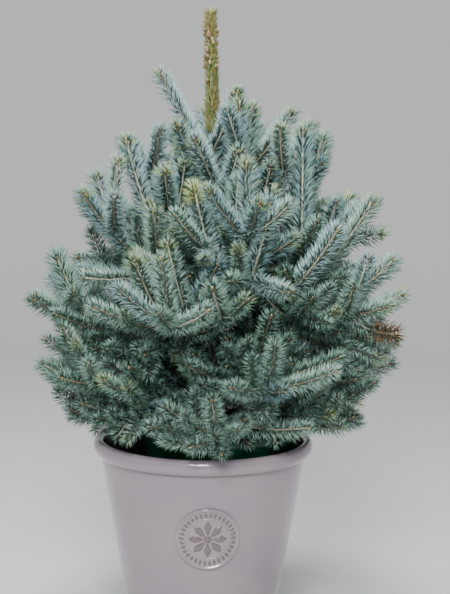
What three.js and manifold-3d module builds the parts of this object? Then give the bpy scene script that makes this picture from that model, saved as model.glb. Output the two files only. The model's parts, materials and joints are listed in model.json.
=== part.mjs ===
import * as THREE from 'three';
import { mergeVertices } from 'three/addons/utils/BufferGeometryUtils.js';
import Module from 'manifold-3d';

// A young blue spruce in its nursery pot, set inside a glazed planter.
// Millimetres, +Z up. The origin is the middle of the planter's flat underside,
// and the medallion on the planter faces -Y.

// ---- driving dimensions ----
const GAP = 0.3;                    // air left between pieces that rest on each other
const ROUND = 32;                   // segments round the planter
const ROUND_SMALL = 24;             // segments round the nursery pot and its compost

const PLANTER_HEIGHT = 375;
const PLANTER_WALL = 12;
const PLANTER_FLOOR = 15;
const PLANTER_TAPER = 0.1706;       // radius gained for each mm of height
const BODY_RADIUS = 176.5;          // planter's outside just under the rim
const RIM_RADIUS = 190;
const RIM_TALL = 27;
const RIM_INSIDE = 171;
const RIM_STEPS = 7;
const FOOT_EDGE = 5;                // rounding where the wall meets the underside

const MEDALLION_RADIUS = 54;
const MEDALLION_RISE = 4;
const MEDALLION_SUNK = 6;
const MEDALLION_HEIGHT = 238;
const MEDALLION_TURN = 4;           // degrees off the front, towards +X

const NURSERY_X = 25;               // the nursery pot sits off centre in the planter
const NURSERY_TOP = 393;
const NURSERY_RADIUS = 131;
const NURSERY_BASE_RADIUS = 77;
const NURSERY_WALL = 2.5;
const NURSERY_LIP = 20;
const NURSERY_LIP_RISE = 3;
const COMPOST_BELOW_LIP = 15;

const TREE_TIP = 1112;
const TRUNK_TIP = 1092;
const TRUNK_LEAN = -0.0263;         // mm towards +X for each mm of height
const TRUNK_BASE_RADIUS = 13;
const TRUNK_TIP_RADIUS = 1.8;
const FLARE_EXTRA = 8;
const FLARE_TALL = 34;
const TRUNK_SIDES = 10;

const CROWN_X = 22;                 // upright axis of the crown
const CROWN_WIDEST = 330;
const CROWN_WIDEST_HEIGHT = 600;
const CROWN_DOME = 412;             // from the widest height to the top of the dome
const CROWN_SKIRT = 250;            // from the widest height down to the full undercut

const WHORL_STAGGER = 11;           // height between neighbouring boughs of a whorl
const KNEE_RISE = 0.22;             // share of a bough's climb made before its knee
const BOUGH_SIDES = 5;
const BOUGH_STEPS = 4;
const BOUGH_TIP_RADIUS = 2.8;

const SPRAY_RADIUS = 20;            // how far needle tips stand off a shoot
const CORE_SHARE = 0.28;            // the slim core under them, as a share of that
const OLD_SPRAY_RADIUS = 16;
const TIERS_SPAN = 0.8;             // share of a shoot over which its needle tiers spread
const TIER_LEAN = 0.3;              // how far a tier's points lean forward, for their reach
const TWIG_RADIUS = 1.8;
const SHOOT_END_RADIUS = 1.5;
const OLD_WOOD = 0.46;              // last year's share of a mass's main stem
const JOINT_CLEAR = 14;             // from a bough's tip to the first side shoots
const SIDE_TURNS = [16, 164, 90, 250];
const OLD_SIDE_LENGTH = 190;        // side shoots of last year's wood, at their longest
const SIDE_LENGTH = 128;
const ORDER_LOSS = 14;              // lost with each order of branching
const SHORTEST_SHOOT = 60;
const THREE_TIERS_FROM = 150;       // longer shoots carry a third tier of needles
const FORK_FROM = 120;              // longer twigs fork once more
const MASS_SPACING = 31;            // between shoots of two masses, from stem to stem
const LOWEST_SHOOT = 14;            // from a shoot's stem down to a rim that it hangs over
const KIN_SPACING = 31;             // between the shoots of one mass, past their joint

const LEADER_BARE = 34;             // bare stem under the leader's own needles
const LEADER_SWELL = 14;
const LEADER_CORE = 7;
const LEADER_TIERS = 9;

const SLIVER = 0.1;                 // finer steps than this are smoothed out of a fused mass

const SEED = 20861;

// The whorls from the lowest up. at: height on the trunk. bare: share of each bough that
// carries no foliage; the two highest whorls grow straight from the trunk. spread: degrees
// between a shoot and its parent. tips: bearing, reach and height of each bough's last shoot,
// where these are not spread evenly round the whorl from the first bearing.
const WHORLS = [
  { name: 'skirt', at: 437, bare: 0.36, spread: 50, tips: evenly(4, -2, 250, 404) },
  { name: 'lower', at: 480, bare: 0.34, spread: 50, tips: evenly(5, 2, 306, 508) },
  { name: 'middle', at: 552, bare: 0.34, spread: 48, tips: evenly(5, 180, 322, 622) },
  { name: 'upper', at: 622, bare: 0.34, spread: 42, tips: evenly(5, -4, 244, 790) },
  { name: 'shoulder', at: 688, bare: 0.36, spread: 36, tips: [
    [203, 155, 884], [-58, 92, 945], [-26, 166, 908], [14, 190, 884], [100, 150, 878]] },
  { name: 'crown', at: 790, bare: 0, spread: 32, tips: [
    [8, 124, 936], [218, 92, 915], [128, 125, 915]] },
  { name: 'top', at: 862, bare: 0, spread: 32, tips: [
    [182, 101, 1008], [-52, 52, 958], [42, 76, 944], [112, 72, 940]] },
];

const wasm = await Module();
wasm.setup();

// ---- small helpers ----

const UP = new THREE.Vector3(0, 0, 1);

// The same draw for the same keys, whatever was drawn before it.
function chance(...keys) {
  let state = SEED;
  for (const key of keys) {
    state = Math.imul(state ^ (key + 0x9e37), 0x85ebca6b) >>> 0;
    state = (state ^ (state >>> 13)) >>> 0;
    state = Math.imul(state, 0xc2b2ae35) >>> 0;
    state = (state ^ (state >>> 16)) >>> 0;
  }
  return state / 4294967296;
}

function evenly(count, bearing, reach, height) {
  return Array.from({ length: count }, (_, k) => [bearing + (360 / count) * k, reach, height]);
}

function around(middle, spread, ...keys) {
  return middle + spread * (2 * chance(...keys) - 1);
}

function outward(degrees) {
  const angle = THREE.MathUtils.degToRad(degrees);
  return new THREE.Vector3(Math.cos(angle), Math.sin(angle), 0);
}

function merged(geometry) {
  const bare = geometry.clone();
  bare.deleteAttribute('normal');
  bare.deleteAttribute('uv');
  const whole = mergeVertices(bare, 1e-4);
  const corners = whole.index.array;
  const kept = [];
  for (let i = 0; i < corners.length; i += 3) {
    const [a, b, c] = [corners[i], corners[i + 1], corners[i + 2]];
    if (a !== b && b !== c && c !== a) kept.push(a, b, c);
  }
  whole.setIndex(kept);
  return whole;
}

function solid(geometry) {
  const whole = merged(geometry);
  const mesh = new wasm.Mesh({
    numProp: 3,
    vertProperties: new Float32Array(whole.attributes.position.array),
    triVerts: new Uint32Array(whole.index.array),
  });
  return new wasm.Manifold(mesh);
}

function geometryOf(manifold) {
  const mesh = manifold.getMesh();
  const geometry = new THREE.BufferGeometry();
  geometry.setAttribute('position', new THREE.BufferAttribute(mesh.vertProperties, 3));
  geometry.setIndex(new THREE.BufferAttribute(mesh.triVerts, 1));
  geometry.computeVertexNormals();
  return geometry;
}

function fused(solids) {
  return solids.reduce((whole, next) => whole.add(next));
}

function turned(profile, segments = ROUND) {
  const points = profile.map(([radius, height]) => new THREE.Vector2(radius, height));
  return new THREE.LatheGeometry(points, segments).rotateX(Math.PI / 2);
}

// A closed cylinder bent along path(share). Each ring says its share of the path, its radius
// and its twist, and a level limb has its rings flat, as a trunk cut off at the soil has.
function limb(path, sides, rings, level = false) {
  const steps = rings.length - 1;
  const geometry = new THREE.CylinderGeometry(1, 1, 1, sides, steps);
  const places = geometry.attributes.position;
  const chord = path(1).sub(path(0)).normalize();
  const side = new THREE.Vector3().crossVectors(chord, leastAlong(chord)).normalize();
  for (let i = 0; i < places.count; i += 1) {
    const ring = rings[Math.round((places.getY(i) + 0.5) * steps)];
    const offset = Math.hypot(places.getX(i), places.getZ(i)) < 0.5 ? 0 : ring.radius;
    const angle = Math.atan2(places.getX(i), places.getZ(i)) + (ring.twist ?? 0);
    const centre = path(ring.share);
    const along = level ? UP : tangent(path, ring.share);
    const across = side.clone().addScaledVector(along, -side.dot(along)).normalize();
    const third = new THREE.Vector3().crossVectors(along, across);
    centre.addScaledVector(across, offset * Math.cos(angle));
    centre.addScaledVector(third, offset * Math.sin(angle));
    places.setXYZ(i, centre.x, centre.y, centre.z);
  }
  return geometry;
}

function leastAlong(direction) {
  return Math.abs(direction.z) < 0.9 ? UP : new THREE.Vector3(1, 0, 0);
}

function tangent(path, share) {
  const from = path(Math.max(0, share - 0.01));
  return path(Math.min(1, share + 0.01)).sub(from).normalize();
}

function straight(from, to) {
  return (share) => from.clone().lerp(to, share);
}

// ---- planter, nursery pot and compost ----

function wallRadius(height) {
  const underRim = PLANTER_HEIGHT - RIM_TALL - 8;
  return BODY_RADIUS - PLANTER_TAPER * (underRim - height);
}

// Points on the rolled rim, from its foot outside over the top to the inner edge.
function rimArc() {
  const middle = PLANTER_HEIGHT - RIM_TALL / 2;
  const centre = (RIM_RADIUS + RIM_INSIDE) / 2;
  const half = (RIM_RADIUS - RIM_INSIDE) / 2;
  const points = [];
  for (let step = 1; step <= RIM_STEPS; step += 1) {
    const angle = -Math.PI / 2 + (step / RIM_STEPS) * Math.PI * 1.5;
    points.push([centre + Math.cos(angle) * half, middle + Math.sin(angle) * (RIM_TALL / 2)]);
  }
  return points;
}

function planterProfile() {
  const underRim = PLANTER_HEIGHT - RIM_TALL;
  const foot = wallRadius(0);
  return [
    [0, 0],
    [foot - FOOT_EDGE, 0],
    [foot - FOOT_EDGE * 0.25, FOOT_EDGE * 0.3],
    [wallRadius(FOOT_EDGE), FOOT_EDGE],
    [wallRadius(underRim - 8), underRim - 8],
    [wallRadius(underRim), underRim],
    ...rimArc(),
    [wallRadius(underRim) - PLANTER_WALL, underRim - 6],
    [wallRadius(PLANTER_FLOOR) - PLANTER_WALL, PLANTER_FLOOR],
    [0, PLANTER_FLOOR],
  ];
}

// A shell that follows the wall, cut to a disc: the raised round medallion.
function medallion() {
  const low = MEDALLION_HEIGHT - MEDALLION_RADIUS - 10;
  const high = MEDALLION_HEIGHT + MEDALLION_RADIUS + 10;
  const shell = turned([
    [wallRadius(low) - MEDALLION_SUNK, low],
    [wallRadius(low) + MEDALLION_RISE, low],
    [wallRadius(high) + MEDALLION_RISE, high],
    [wallRadius(high) - MEDALLION_SUNK, high],
    [wallRadius(low) - MEDALLION_SUNK, low],
  ]);
  const disc = new THREE.CylinderGeometry(MEDALLION_RADIUS, MEDALLION_RADIUS, 80, ROUND_SMALL);
  disc.translate(0, -wallRadius(MEDALLION_HEIGHT), 0);
  disc.translate(0, 0, MEDALLION_HEIGHT);
  disc.rotateZ(THREE.MathUtils.degToRad(MEDALLION_TURN));
  return solid(shell).intersect(solid(disc));
}

function planter() {
  return geometryOf(solid(turned(planterProfile())).add(medallion()));
}

function nurseryRadius(height) {
  const base = PLANTER_FLOOR + GAP;
  const share = (height - base) / (NURSERY_TOP - NURSERY_LIP - base);
  return NURSERY_BASE_RADIUS + share * (NURSERY_RADIUS - NURSERY_BASE_RADIUS);
}

function nurseryPot() {
  const base = PLANTER_FLOOR + GAP;
  const floor = base + NURSERY_WALL;
  const lip = NURSERY_TOP - NURSERY_LIP;
  const lipRadius = NURSERY_RADIUS + NURSERY_LIP_RISE;
  return turned([
    [0, base],
    [nurseryRadius(base), base],
    [nurseryRadius(lip), lip],
    [lipRadius, lip],
    [lipRadius, NURSERY_TOP - 1],
    [lipRadius - 1, NURSERY_TOP],
    [lipRadius - NURSERY_WALL, NURSERY_TOP],
    [nurseryRadius(lip) - NURSERY_WALL, lip - NURSERY_LIP_RISE],
    [nurseryRadius(floor) - NURSERY_WALL, floor],
    [0, floor],
  ], ROUND_SMALL);
}

function compostTop() {
  return NURSERY_TOP - COMPOST_BELOW_LIP;
}

function compost() {
  const bottom = PLANTER_FLOOR + NURSERY_WALL + 2 * GAP;
  const shoulder = NURSERY_TOP - NURSERY_LIP - NURSERY_LIP_RISE - 2;
  const inside = (height) => nurseryRadius(height) - NURSERY_WALL - 2 * GAP;
  return turned([
    [0, bottom],
    [inside(bottom), bottom],
    [inside(shoulder), shoulder],
    [inside(shoulder), compostTop()],
    [0, compostTop()],
  ], ROUND_SMALL);
}

// ---- trunk and boughs ----

function trunkAt(height) {
  const above = height - compostTop();
  const sway = 3 * Math.sin(above / 115);
  return new THREE.Vector3(NURSERY_X - 1 + TRUNK_LEAN * above, sway, height);
}

function trunkRadius(height) {
  const share = Math.min(1, (height - compostTop()) / (TRUNK_TIP - compostTop()));
  const taper = TRUNK_BASE_RADIUS + (TRUNK_TIP_RADIUS - TRUNK_BASE_RADIUS) * Math.sqrt(share);
  const flare = Math.max(0, 1 - (height - compostTop()) / FLARE_TALL);
  return taper + FLARE_EXTRA * flare * flare;
}

// With grown above nought this is the space that boughs and foliage are cut clear of.
function trunk(grown = 0) {
  const foot = compostTop() + GAP;
  const tall = TRUNK_TIP - foot;
  const path = (share) => trunkAt(foot + share * tall);
  const rings = [0, 0.02, 0.045, 0.15, 0.3, 0.45, 0.6, 0.7, 0.8, 0.9, 1].map((share) => {
    return { share, radius: trunkRadius(foot + share * tall) + grown * 1.1 };
  });
  rings[0].share -= grown / tall;
  rings[rings.length - 1].share += grown / tall;
  return limb(path, TRUNK_SIDES, rings, true);
}

// Every bough of every whorl: its bearing, its tip and the curve that it follows.
function boughPlans() {
  const plans = [];
  WHORLS.forEach((whorl, row) => {
    whorl.tips.forEach(([bearing, reach, height], k) => {
      const stagger = ((2 * k) % whorl.tips.length) - (whorl.tips.length - 1) / 2;
      const start = trunkAt(whorl.at + WHORL_STAGGER * stagger);
      const heading = around(bearing, 6, row, k, 1);
      const tip = outward(heading).multiplyScalar(around(reach, reach * 0.03, row, k, 2));
      tip.x += CROWN_X;
      tip.z = around(height, 10, row, k, 4);
      const knee = start.clone().lerp(tip, 0.58);
      knee.z = start.z + KNEE_RISE * (tip.z - start.z);
      const curve = new THREE.QuadraticBezierCurve3(start, knee, tip);
      const path = (share) => curve.getPoint(share);
      plans.push({ whorl, row, k, bearing: heading, path, name: `${whorl.name}_${k + 1}` });
    });
  });
  return plans;
}

function boughRadius(plan, share) {
  const rootRadius = 0.45 * trunkRadius(plan.path(0).z) + 1.4;
  return THREE.MathUtils.lerp(rootRadius, BOUGH_TIP_RADIUS, share);
}

function bough(plan, clearOfTrunk) {
  const path = (share) => plan.path(share * plan.whorl.bare);
  const rings = [];
  for (let step = 0; step <= BOUGH_STEPS; step += 1) {
    const share = step / BOUGH_STEPS;
    rings.push({ share, radius: boughRadius(plan, share) });
  }
  return geometryOf(solid(limb(path, BOUGH_SIDES, rings)).subtract(clearOfTrunk));
}

// ---- foliage: the rule by which each mass branches ----

// The crown's outline: how far out a shoot may reach at a height.
function crownRadius(height) {
  if (height >= CROWN_WIDEST_HEIGHT) {
    const share = Math.min(1, (height - CROWN_WIDEST_HEIGHT) / CROWN_DOME);
    return CROWN_WIDEST * (1 - share ** 1.4) ** 0.75;
  }
  const share = (CROWN_WIDEST_HEIGHT - height) / CROWN_SKIRT;
  return CROWN_WIDEST * (1 - 0.45 * share ** 1.8);
}

function insideCrown(point) {
  return Math.hypot(point.x - CROWN_X, point.y) <= crownRadius(point.z);
}

// How high a point lies over the nursery pot's lip or, past it, over the planter's rim.
function abovePots(point) {
  const overNursery = Math.hypot(point.x - NURSERY_X, point.y) < NURSERY_RADIUS + SPRAY_RADIUS;
  return point.z - (overNursery ? NURSERY_TOP : PLANTER_HEIGHT);
}

// The shortest distance between two straight twigs.
function apart(p, q) {
  const d1 = p.tip.clone().sub(p.from);
  const d2 = q.tip.clone().sub(q.from);
  const r = p.from.clone().sub(q.from);
  const a = d1.dot(d1);
  const b = d1.dot(d2);
  const c = d1.dot(r);
  const e = d2.dot(d2);
  const f = d2.dot(r);
  const slant = a * e - b * b;
  const limit = (value) => Math.min(1, Math.max(0, value));
  let s = slant > 1e-9 ? limit((b * f - c * e) / slant) : 0;
  const t = limit((b * s + f) / e);
  s = limit((b * t - c) / a);
  return r.addScaledVector(d1, s).addScaledVector(d2, -t).length();
}

function twig(plan, order, key, from, tip, radius) {
  return { plan, order, key, from, tip, radius };
}

// The bare limbs, as straight stretches that foliage must stay off.
function bareStretches(plans) {
  const stretches = [];
  for (const plan of plans) {
    for (let step = 0; step < 3 && plan.whorl.bare > 0; step += 1) {
      const from = plan.path((step / 3) * plan.whorl.bare);
      const to = plan.path(((step + 1) / 3) * plan.whorl.bare);
      stretches.push(twig(plan, -1, 0, from, to, boughRadius(plan, step / 3)));
    }
  }
  for (let height = compostTop(); height < TRUNK_TIP; height += 90) {
    const from = trunkAt(height);
    const to = trunkAt(Math.min(TRUNK_TIP, height + 90));
    stretches.push(twig(null, -1, 0, from, to, trunkRadius(height)));
  }
  return stretches;
}

// A stem's first two lengths: last year's wood, and the shoot at its end.
function mainShoots(plan) {
  const { bare } = plan.whorl;
  if (bare === 0) {
    return [twig(plan, 0, 1, plan.path(0), plan.path(1), SPRAY_RADIUS)];
  }
  const joint = bare + (1 - bare) * OLD_WOOD;
  const start = plan.path(bare).addScaledVector(tangent(plan.path, bare), GAP);
  return [
    twig(plan, 0, 1, start, plan.path(joint), OLD_SPRAY_RADIUS),
    twig(plan, 0, 2, plan.path(joint), plan.path(1), SPRAY_RADIUS),
  ];
}

// Two directions square to a twig: level, and upwards.
function sidesOf(parent, along) {
  const level = new THREE.Vector3().crossVectors(along, UP);
  if (level.length() < 0.3) level.copy(outward(parent.plan.bearing + 90));
  level.normalize();
  return [level, new THREE.Vector3().crossVectors(level, along)];
}

function isOldWood(shoot) {
  return shoot.order === 0 && shoot.key === 1 && shoot.plan.whorl.bare > 0;
}

// Where a twig's side shoots leave it and how they lean: both sides, then above and below.
function sideShoots(parent) {
  const { plan, order, key } = parent;
  const along = parent.tip.clone().sub(parent.from);
  const length = along.length();
  along.normalize();
  const [level, above] = sidesOf(parent, along);
  const old = isOldWood(parent);
  const leave = old ? JOINT_CLEAR / length : around(0.16, 0.08, plan.row, plan.k, key, 5);
  const turns = order === 0 ? SIDE_TURNS : SIDE_TURNS.slice(0, 2);
  return turns.map((turn, index) => {
    const keys = [plan.row, plan.k, key, index];
    const roll = THREE.MathUtils.degToRad(around(turn, 12, ...keys, 6));
    const lean = THREE.MathUtils.degToRad(around(plan.whorl.spread, 6, ...keys, 7));
    const heading = along.clone().multiplyScalar(Math.cos(lean));
    heading.addScaledVector(level, Math.sin(lean) * Math.cos(roll));
    heading.addScaledVector(above, Math.sin(lean) * Math.sin(roll));
    const full = old ? OLD_SIDE_LENGTH : SIDE_LENGTH - ORDER_LOSS * order;
    return {
      from: parent.from.clone().lerp(parent.tip, leave + 0.05 * index),
      heading,
      length: full * around(0.93, 0.09, ...keys, 8),
      key: key * 5 + index + 3,
    };
  });
}

function roomFor(candidate, parent, grown, bare) {
  const others = grown.filter((other) => other.plan !== candidate.plan);
  if (others.some((other) => apart(candidate, other) < MASS_SPACING)) return false;
  const limbs = bare.filter((limb) => limb.plan !== candidate.plan);
  if (limbs.some((limb) => apart(candidate, limb) < candidate.radius + limb.radius + 2 * GAP)) {
    return false;
  }
  const kin = grown.filter((other) => other.plan === candidate.plan);
  const outer = { from: candidate.from.clone().lerp(candidate.tip, 0.4), tip: candidate.tip };
  return kin.every((other) => other === parent || apart(outer, other) > KIN_SPACING);
}

// A side shoot is shortened to stay within the crown and clear of what already grew.
function fitted(parent, shoot, grown, bare) {
  for (let length = shoot.length; length >= SHORTEST_SHOOT; length *= 0.9) {
    const tip = shoot.from.clone().addScaledVector(shoot.heading, length);
    const candidate = twig(parent.plan, parent.order + 1, shoot.key, shoot.from, tip, SPRAY_RADIUS);
    const within = insideCrown(tip) && abovePots(tip) > LOWEST_SHOOT;
    if (within && roomFor(candidate, parent, grown, bare)) return candidate;
  }
  return null;
}

// All shoots of all masses, one order of branching after another, so no mass starves the rest.
function growFoliage(plans, bare) {
  const grown = plans.flatMap(mainShoots);
  let parents = [...grown].reverse();
  for (let order = 0; order < 2; order += 1) {
    const next = [];
    for (let index = 0; index < 4; index += 1) {
      for (const parent of parents) {
        const shoot = sideShoots(parent)[index];
        const long = parent.order === 0 || parent.tip.distanceTo(parent.from) > FORK_FROM;
        const child = shoot && long ? fitted(parent, shoot, grown, bare) : null;
        if (child) {
          grown.push(child);
          next.push(child);
        }
      }
    }
    parents = next;
  }
  return grown;
}

// How far needles may stand off a stretch of a shoot before they leave their mass's space.
function elbowRoom(shoot, start, end, grown, bare) {
  const stretch = {
    from: shoot.from.clone().lerp(shoot.tip, start),
    tip: shoot.from.clone().lerp(shoot.tip, end),
  };
  let room = Math.min(shoot.radius, abovePots(stretch.from) - 1, abovePots(stretch.tip) - 1);
  for (const other of grown) {
    if (other.plan !== shoot.plan) room = Math.min(room, apart(stretch, other) / 2 - GAP);
  }
  for (const limb of bare) {
    if (limb.plan && limb.plan !== shoot.plan) {
      room = Math.min(room, apart(stretch, limb) - limb.radius - GAP);
    }
  }
  return Math.max(room, 1);
}

// One shoot as a slim core with tiers of needle points that lean forward off it.
function spray(shoot, grown, bare) {
  const length = shoot.tip.distanceTo(shoot.from);
  const tiers = length > THREE_TIERS_FROM ? 3 : 2;
  const rings = [{ share: 0, radius: shoot.order === 0 ? BOUGH_TIP_RADIUS : TWIG_RADIUS }];
  for (let tier = 1; tier <= tiers; tier += 1) {
    const share = 0.08 + (tier / tiers) * TIERS_SPAN;
    const room = elbowRoom(shoot, share - TIERS_SPAN / tiers, share, grown, bare);
    const lean = (room * TIER_LEAN) / length;
    rings.push({ share, radius: tier === tiers ? room * 0.85 : room });
    if (tier < tiers) rings.push({ share: share - lean, radius: room * CORE_SHARE });
  }
  rings.push({ share: 1, radius: SHOOT_END_RADIUS });
  rings.forEach((ring, index) => {
    ring.twist = shoot.key - (index * Math.PI) / 3;
  });
  return solid(limb(straight(shoot.from, shoot.tip), 3, rings));
}

function foliageMass(plan, grown, bare, clearOfStem) {
  const own = grown.filter((shoot) => shoot.plan === plan);
  const sprays = own.map((shoot) => spray(shoot, grown, bare));
  const whole = fused(sprays);
  return plan.whorl.bare === 0 ? whole.subtract(clearOfStem) : whole;
}

function leaderFoot() {
  return WHORLS[WHORLS.length - 1].at + LEADER_BARE;
}

// The space round the leader's needles that the top shoots are cut clear of.
function leaderEnvelope() {
  const foot = leaderFoot() - GAP;
  const path = (share) => trunkAt(foot + share * (TREE_TIP - foot));
  const radius = (LEADER_SWELL + 2 * GAP) / Math.cos(Math.PI / 8);
  return limb(path, 8, [0, 0.5, 1].map((share) => ({ share, radius })));
}

// The sleeve of short upright needles round the leader, with its cluster of end buds.
function leaderSleeve(clearOfTrunk) {
  const foot = leaderFoot();
  const rings = [{ share: 0, radius: LEADER_CORE }];
  for (let tier = 1; tier <= LEADER_TIERS; tier += 1) {
    const share = tier / (LEADER_TIERS + 0.6);
    const endBuds = tier >= LEADER_TIERS - 1;
    rings.push({ share, radius: endBuds ? LEADER_SWELL : LEADER_SWELL - 1.5 });
    rings.push({ share: share - 0.035, radius: LEADER_CORE });
  }
  rings.push({ share: 1, radius: 5 });
  rings.forEach((ring, index) => {
    ring.twist = (-index * Math.PI) / 5;
  });
  const path = (share) => trunkAt(foot + share * (TREE_TIP - foot));
  return solid(limb(path, 5, rings)).subtract(clearOfTrunk);
}

// ---- assembly ----

const GLAZE = { color: 0xb3a9a4, roughness: 0.25, metalness: 0 };
const GREEN_PLASTIC = { color: 0x0d4a33, roughness: 0.35, metalness: 0 };
const PEAT = { color: 0x2e231b, roughness: 0.95, metalness: 0 };
const BARK = { color: 0x6e5646, roughness: 0.9, metalness: 0 };
const NEEDLES = { color: 0x5f7f7c, roughness: 0.7, metalness: 0 };
const LEADER_NEEDLES = { color: 0x7c8a4a, roughness: 0.7, metalness: 0 };

function addPart(group, name, geometry, finish) {
  const mesh = new THREE.Mesh(geometry, new THREE.MeshStandardMaterial(finish));
  mesh.name = name;
  group.add(mesh);
  return mesh;
}

// A fused mass without slivers and loose scraps.
function largest(manifold) {
  const pieces = manifold.simplify(SLIVER).decompose();
  return pieces.reduce((best, piece) => (piece.volume() > best.volume() ? piece : best));
}

function buildSpruce() {
  const group = new THREE.Group();
  const clearOfTrunk = solid(trunk(GAP));
  const clearOfStem = clearOfTrunk.add(solid(leaderEnvelope()));
  const plans = boughPlans();
  const bare = bareStretches(plans);
  const grown = growFoliage(plans, bare);

  addPart(group, 'planter', planter(), GLAZE);
  const nursery = new THREE.Group();
  nursery.position.x = NURSERY_X;
  addPart(nursery, 'nursery_pot', nurseryPot(), GREEN_PLASTIC);
  addPart(nursery, 'compost', compost(), PEAT);
  group.add(nursery);

  addPart(group, 'trunk', trunk(), BARK);
  for (const plan of plans) {
    if (plan.whorl.bare > 0) addPart(group, `bough_${plan.name}`, bough(plan, clearOfTrunk), BARK);
    const mass = largest(foliageMass(plan, grown, bare, clearOfStem));
    addPart(group, `foliage_${plan.name}`, geometryOf(mass), NEEDLES);
  }
  addPart(group, 'foliage_leader', geometryOf(leaderSleeve(clearOfTrunk)), LEADER_NEEDLES);
  return group;
}

export default buildSpruce();
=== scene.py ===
"""The looks of a young blue spruce in its nursery pot, set inside a glazed planter."""
import json
import math

import bmesh
import bpy
import numpy as np
from mathutils import Matrix, Vector

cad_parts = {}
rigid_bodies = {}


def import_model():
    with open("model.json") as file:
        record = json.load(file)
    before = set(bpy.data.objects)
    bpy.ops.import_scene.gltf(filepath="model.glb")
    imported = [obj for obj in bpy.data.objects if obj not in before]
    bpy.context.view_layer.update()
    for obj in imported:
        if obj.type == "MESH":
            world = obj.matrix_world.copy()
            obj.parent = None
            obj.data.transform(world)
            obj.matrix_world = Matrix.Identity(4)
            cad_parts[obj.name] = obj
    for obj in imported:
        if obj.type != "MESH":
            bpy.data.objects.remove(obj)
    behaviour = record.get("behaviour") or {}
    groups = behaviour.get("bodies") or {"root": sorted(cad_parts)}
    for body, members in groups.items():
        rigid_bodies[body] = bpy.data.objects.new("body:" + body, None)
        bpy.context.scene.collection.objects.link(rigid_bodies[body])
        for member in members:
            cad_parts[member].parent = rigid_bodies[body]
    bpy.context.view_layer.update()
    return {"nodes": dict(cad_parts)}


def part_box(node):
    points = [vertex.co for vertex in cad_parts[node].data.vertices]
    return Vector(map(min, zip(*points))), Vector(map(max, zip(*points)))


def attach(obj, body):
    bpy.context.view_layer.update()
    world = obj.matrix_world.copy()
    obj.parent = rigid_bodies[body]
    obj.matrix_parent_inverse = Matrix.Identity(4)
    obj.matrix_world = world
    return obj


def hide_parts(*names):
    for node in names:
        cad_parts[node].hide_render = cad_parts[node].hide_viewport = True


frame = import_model()

MM = 0.001
SEED = 20861
draw = np.random.default_rng(SEED)

# ---- the planter, the nursery pot and the compost, in millimetres ----

PLANTER_HEIGHT = 375
PLANTER_WALL = 12
PLANTER_FLOOR = 15
PLANTER_TAPER = 0.1706              # radius gained for each mm of height
RIM_RADIUS = 190
RIM_TALL = 27
RIM_INSIDE = 171
UNDER_RIM = PLANTER_HEIGHT - RIM_TALL
BODY_RADIUS = 176.5                 # outside, a little under the rim
BODY_TOP = UNDER_RIM - 8            # the height at which it is measured
FOOT_EDGE = 5
PLANTER_SIDES = 144

MEDALLION_RADIUS = 54
MEDALLION_HEIGHT = 238
MEDALLION_TURN = 4                  # degrees off the front
MEDALLION_SUNK = 3                  # how deep its edge goes into the wall
MEDALLION_RISE = 3.4                # how far its face stands off the wall

NURSERY_X = 25
NURSERY_TOP = 393
NURSERY_RADIUS = 131
NURSERY_BASE_RADIUS = 77
NURSERY_WALL = 2.5
NURSERY_LIP = 20
NURSERY_LIP_RISE = 3
NURSERY_SIDES = 96
COMPOST_TOP = 378
COMPOST_RINGS = 20

# ---- the tree, by the same sizes and rule as its solids ----

GAP = 0.3
TRUNK_TIP = 1092
TRUNK_LEAN = -0.0263
TRUNK_BASE_RADIUS = 13
TRUNK_TIP_RADIUS = 1.8
TRUNK_PIECE = 90                    # straight pieces that stand for the trunk when twigs keep clear
FLARE_EXTRA = 8
FLARE_TALL = 34

CROWN_X = 22
CROWN_WIDEST = 330
CROWN_WIDEST_HEIGHT = 600
CROWN_DOME = 412
CROWN_SKIRT = 250

WHORL_STAGGER = 11
KNEE_RISE = 0.22
BOUGH_TIP_RADIUS = 2.8

SPRAY_RADIUS = 20
OLD_SPRAY_RADIUS = 16
OLD_WOOD = 0.46
JOINT_CLEAR = 14                    # between a joint and the first side shoot past it
SIDE_TURNS = (16, 164, 90, 250)     # degrees round the parent, from level on one side
OLD_SIDE_LENGTH = 190
SIDE_LENGTH = 128
ORDER_LOSS = 14                     # by which each order of branching is shorter
SHORTEST_SHOOT = 60
FORK_FROM = 120                     # the shortest side shoot that branches again
MASS_SPACING = 31                   # between shoots of different masses, from stem to stem
KIN_SPACING = 31                    # and between those of one mass
LOWEST_SHOOT = 14                   # above the rim below it
LEADER_FOOT = 896


def evenly(count, bearing, reach, height):
    """Bough tips spread evenly round a whorl, as (bearing, reach, height)."""
    return [(bearing + 360 / count * k, reach, height) for k in range(count)]


# name, height on the trunk, bare share of each bough, degrees between a shoot and its parent,
# and the bearing, reach and height of each bough's last shoot
WHORLS = (
    ("skirt", 437, 0.36, 50, evenly(4, -2, 250, 404)),
    ("lower", 480, 0.34, 50, evenly(5, 2, 306, 508)),
    ("middle", 552, 0.34, 48, evenly(5, 180, 322, 622)),
    ("upper", 622, 0.34, 42, evenly(5, -4, 244, 790)),
    ("shoulder", 688, 0.36, 36, [(203, 155, 884), (-58, 92, 945), (-26, 166, 908),
                                 (14, 190, 884), (100, 150, 878)]),
    ("crown", 790, 0, 32, [(8, 124, 936), (218, 92, 915), (128, 125, 915)]),
    ("top", 862, 0, 32, [(182, 101, 1008), (-52, 52, 958), (42, 76, 944), (112, 72, 940)]),
)
UP = np.array([0.0, 0.0, 1.0])


# ---- growth: the rule by which every mass branches, here in millimetres ----

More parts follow.
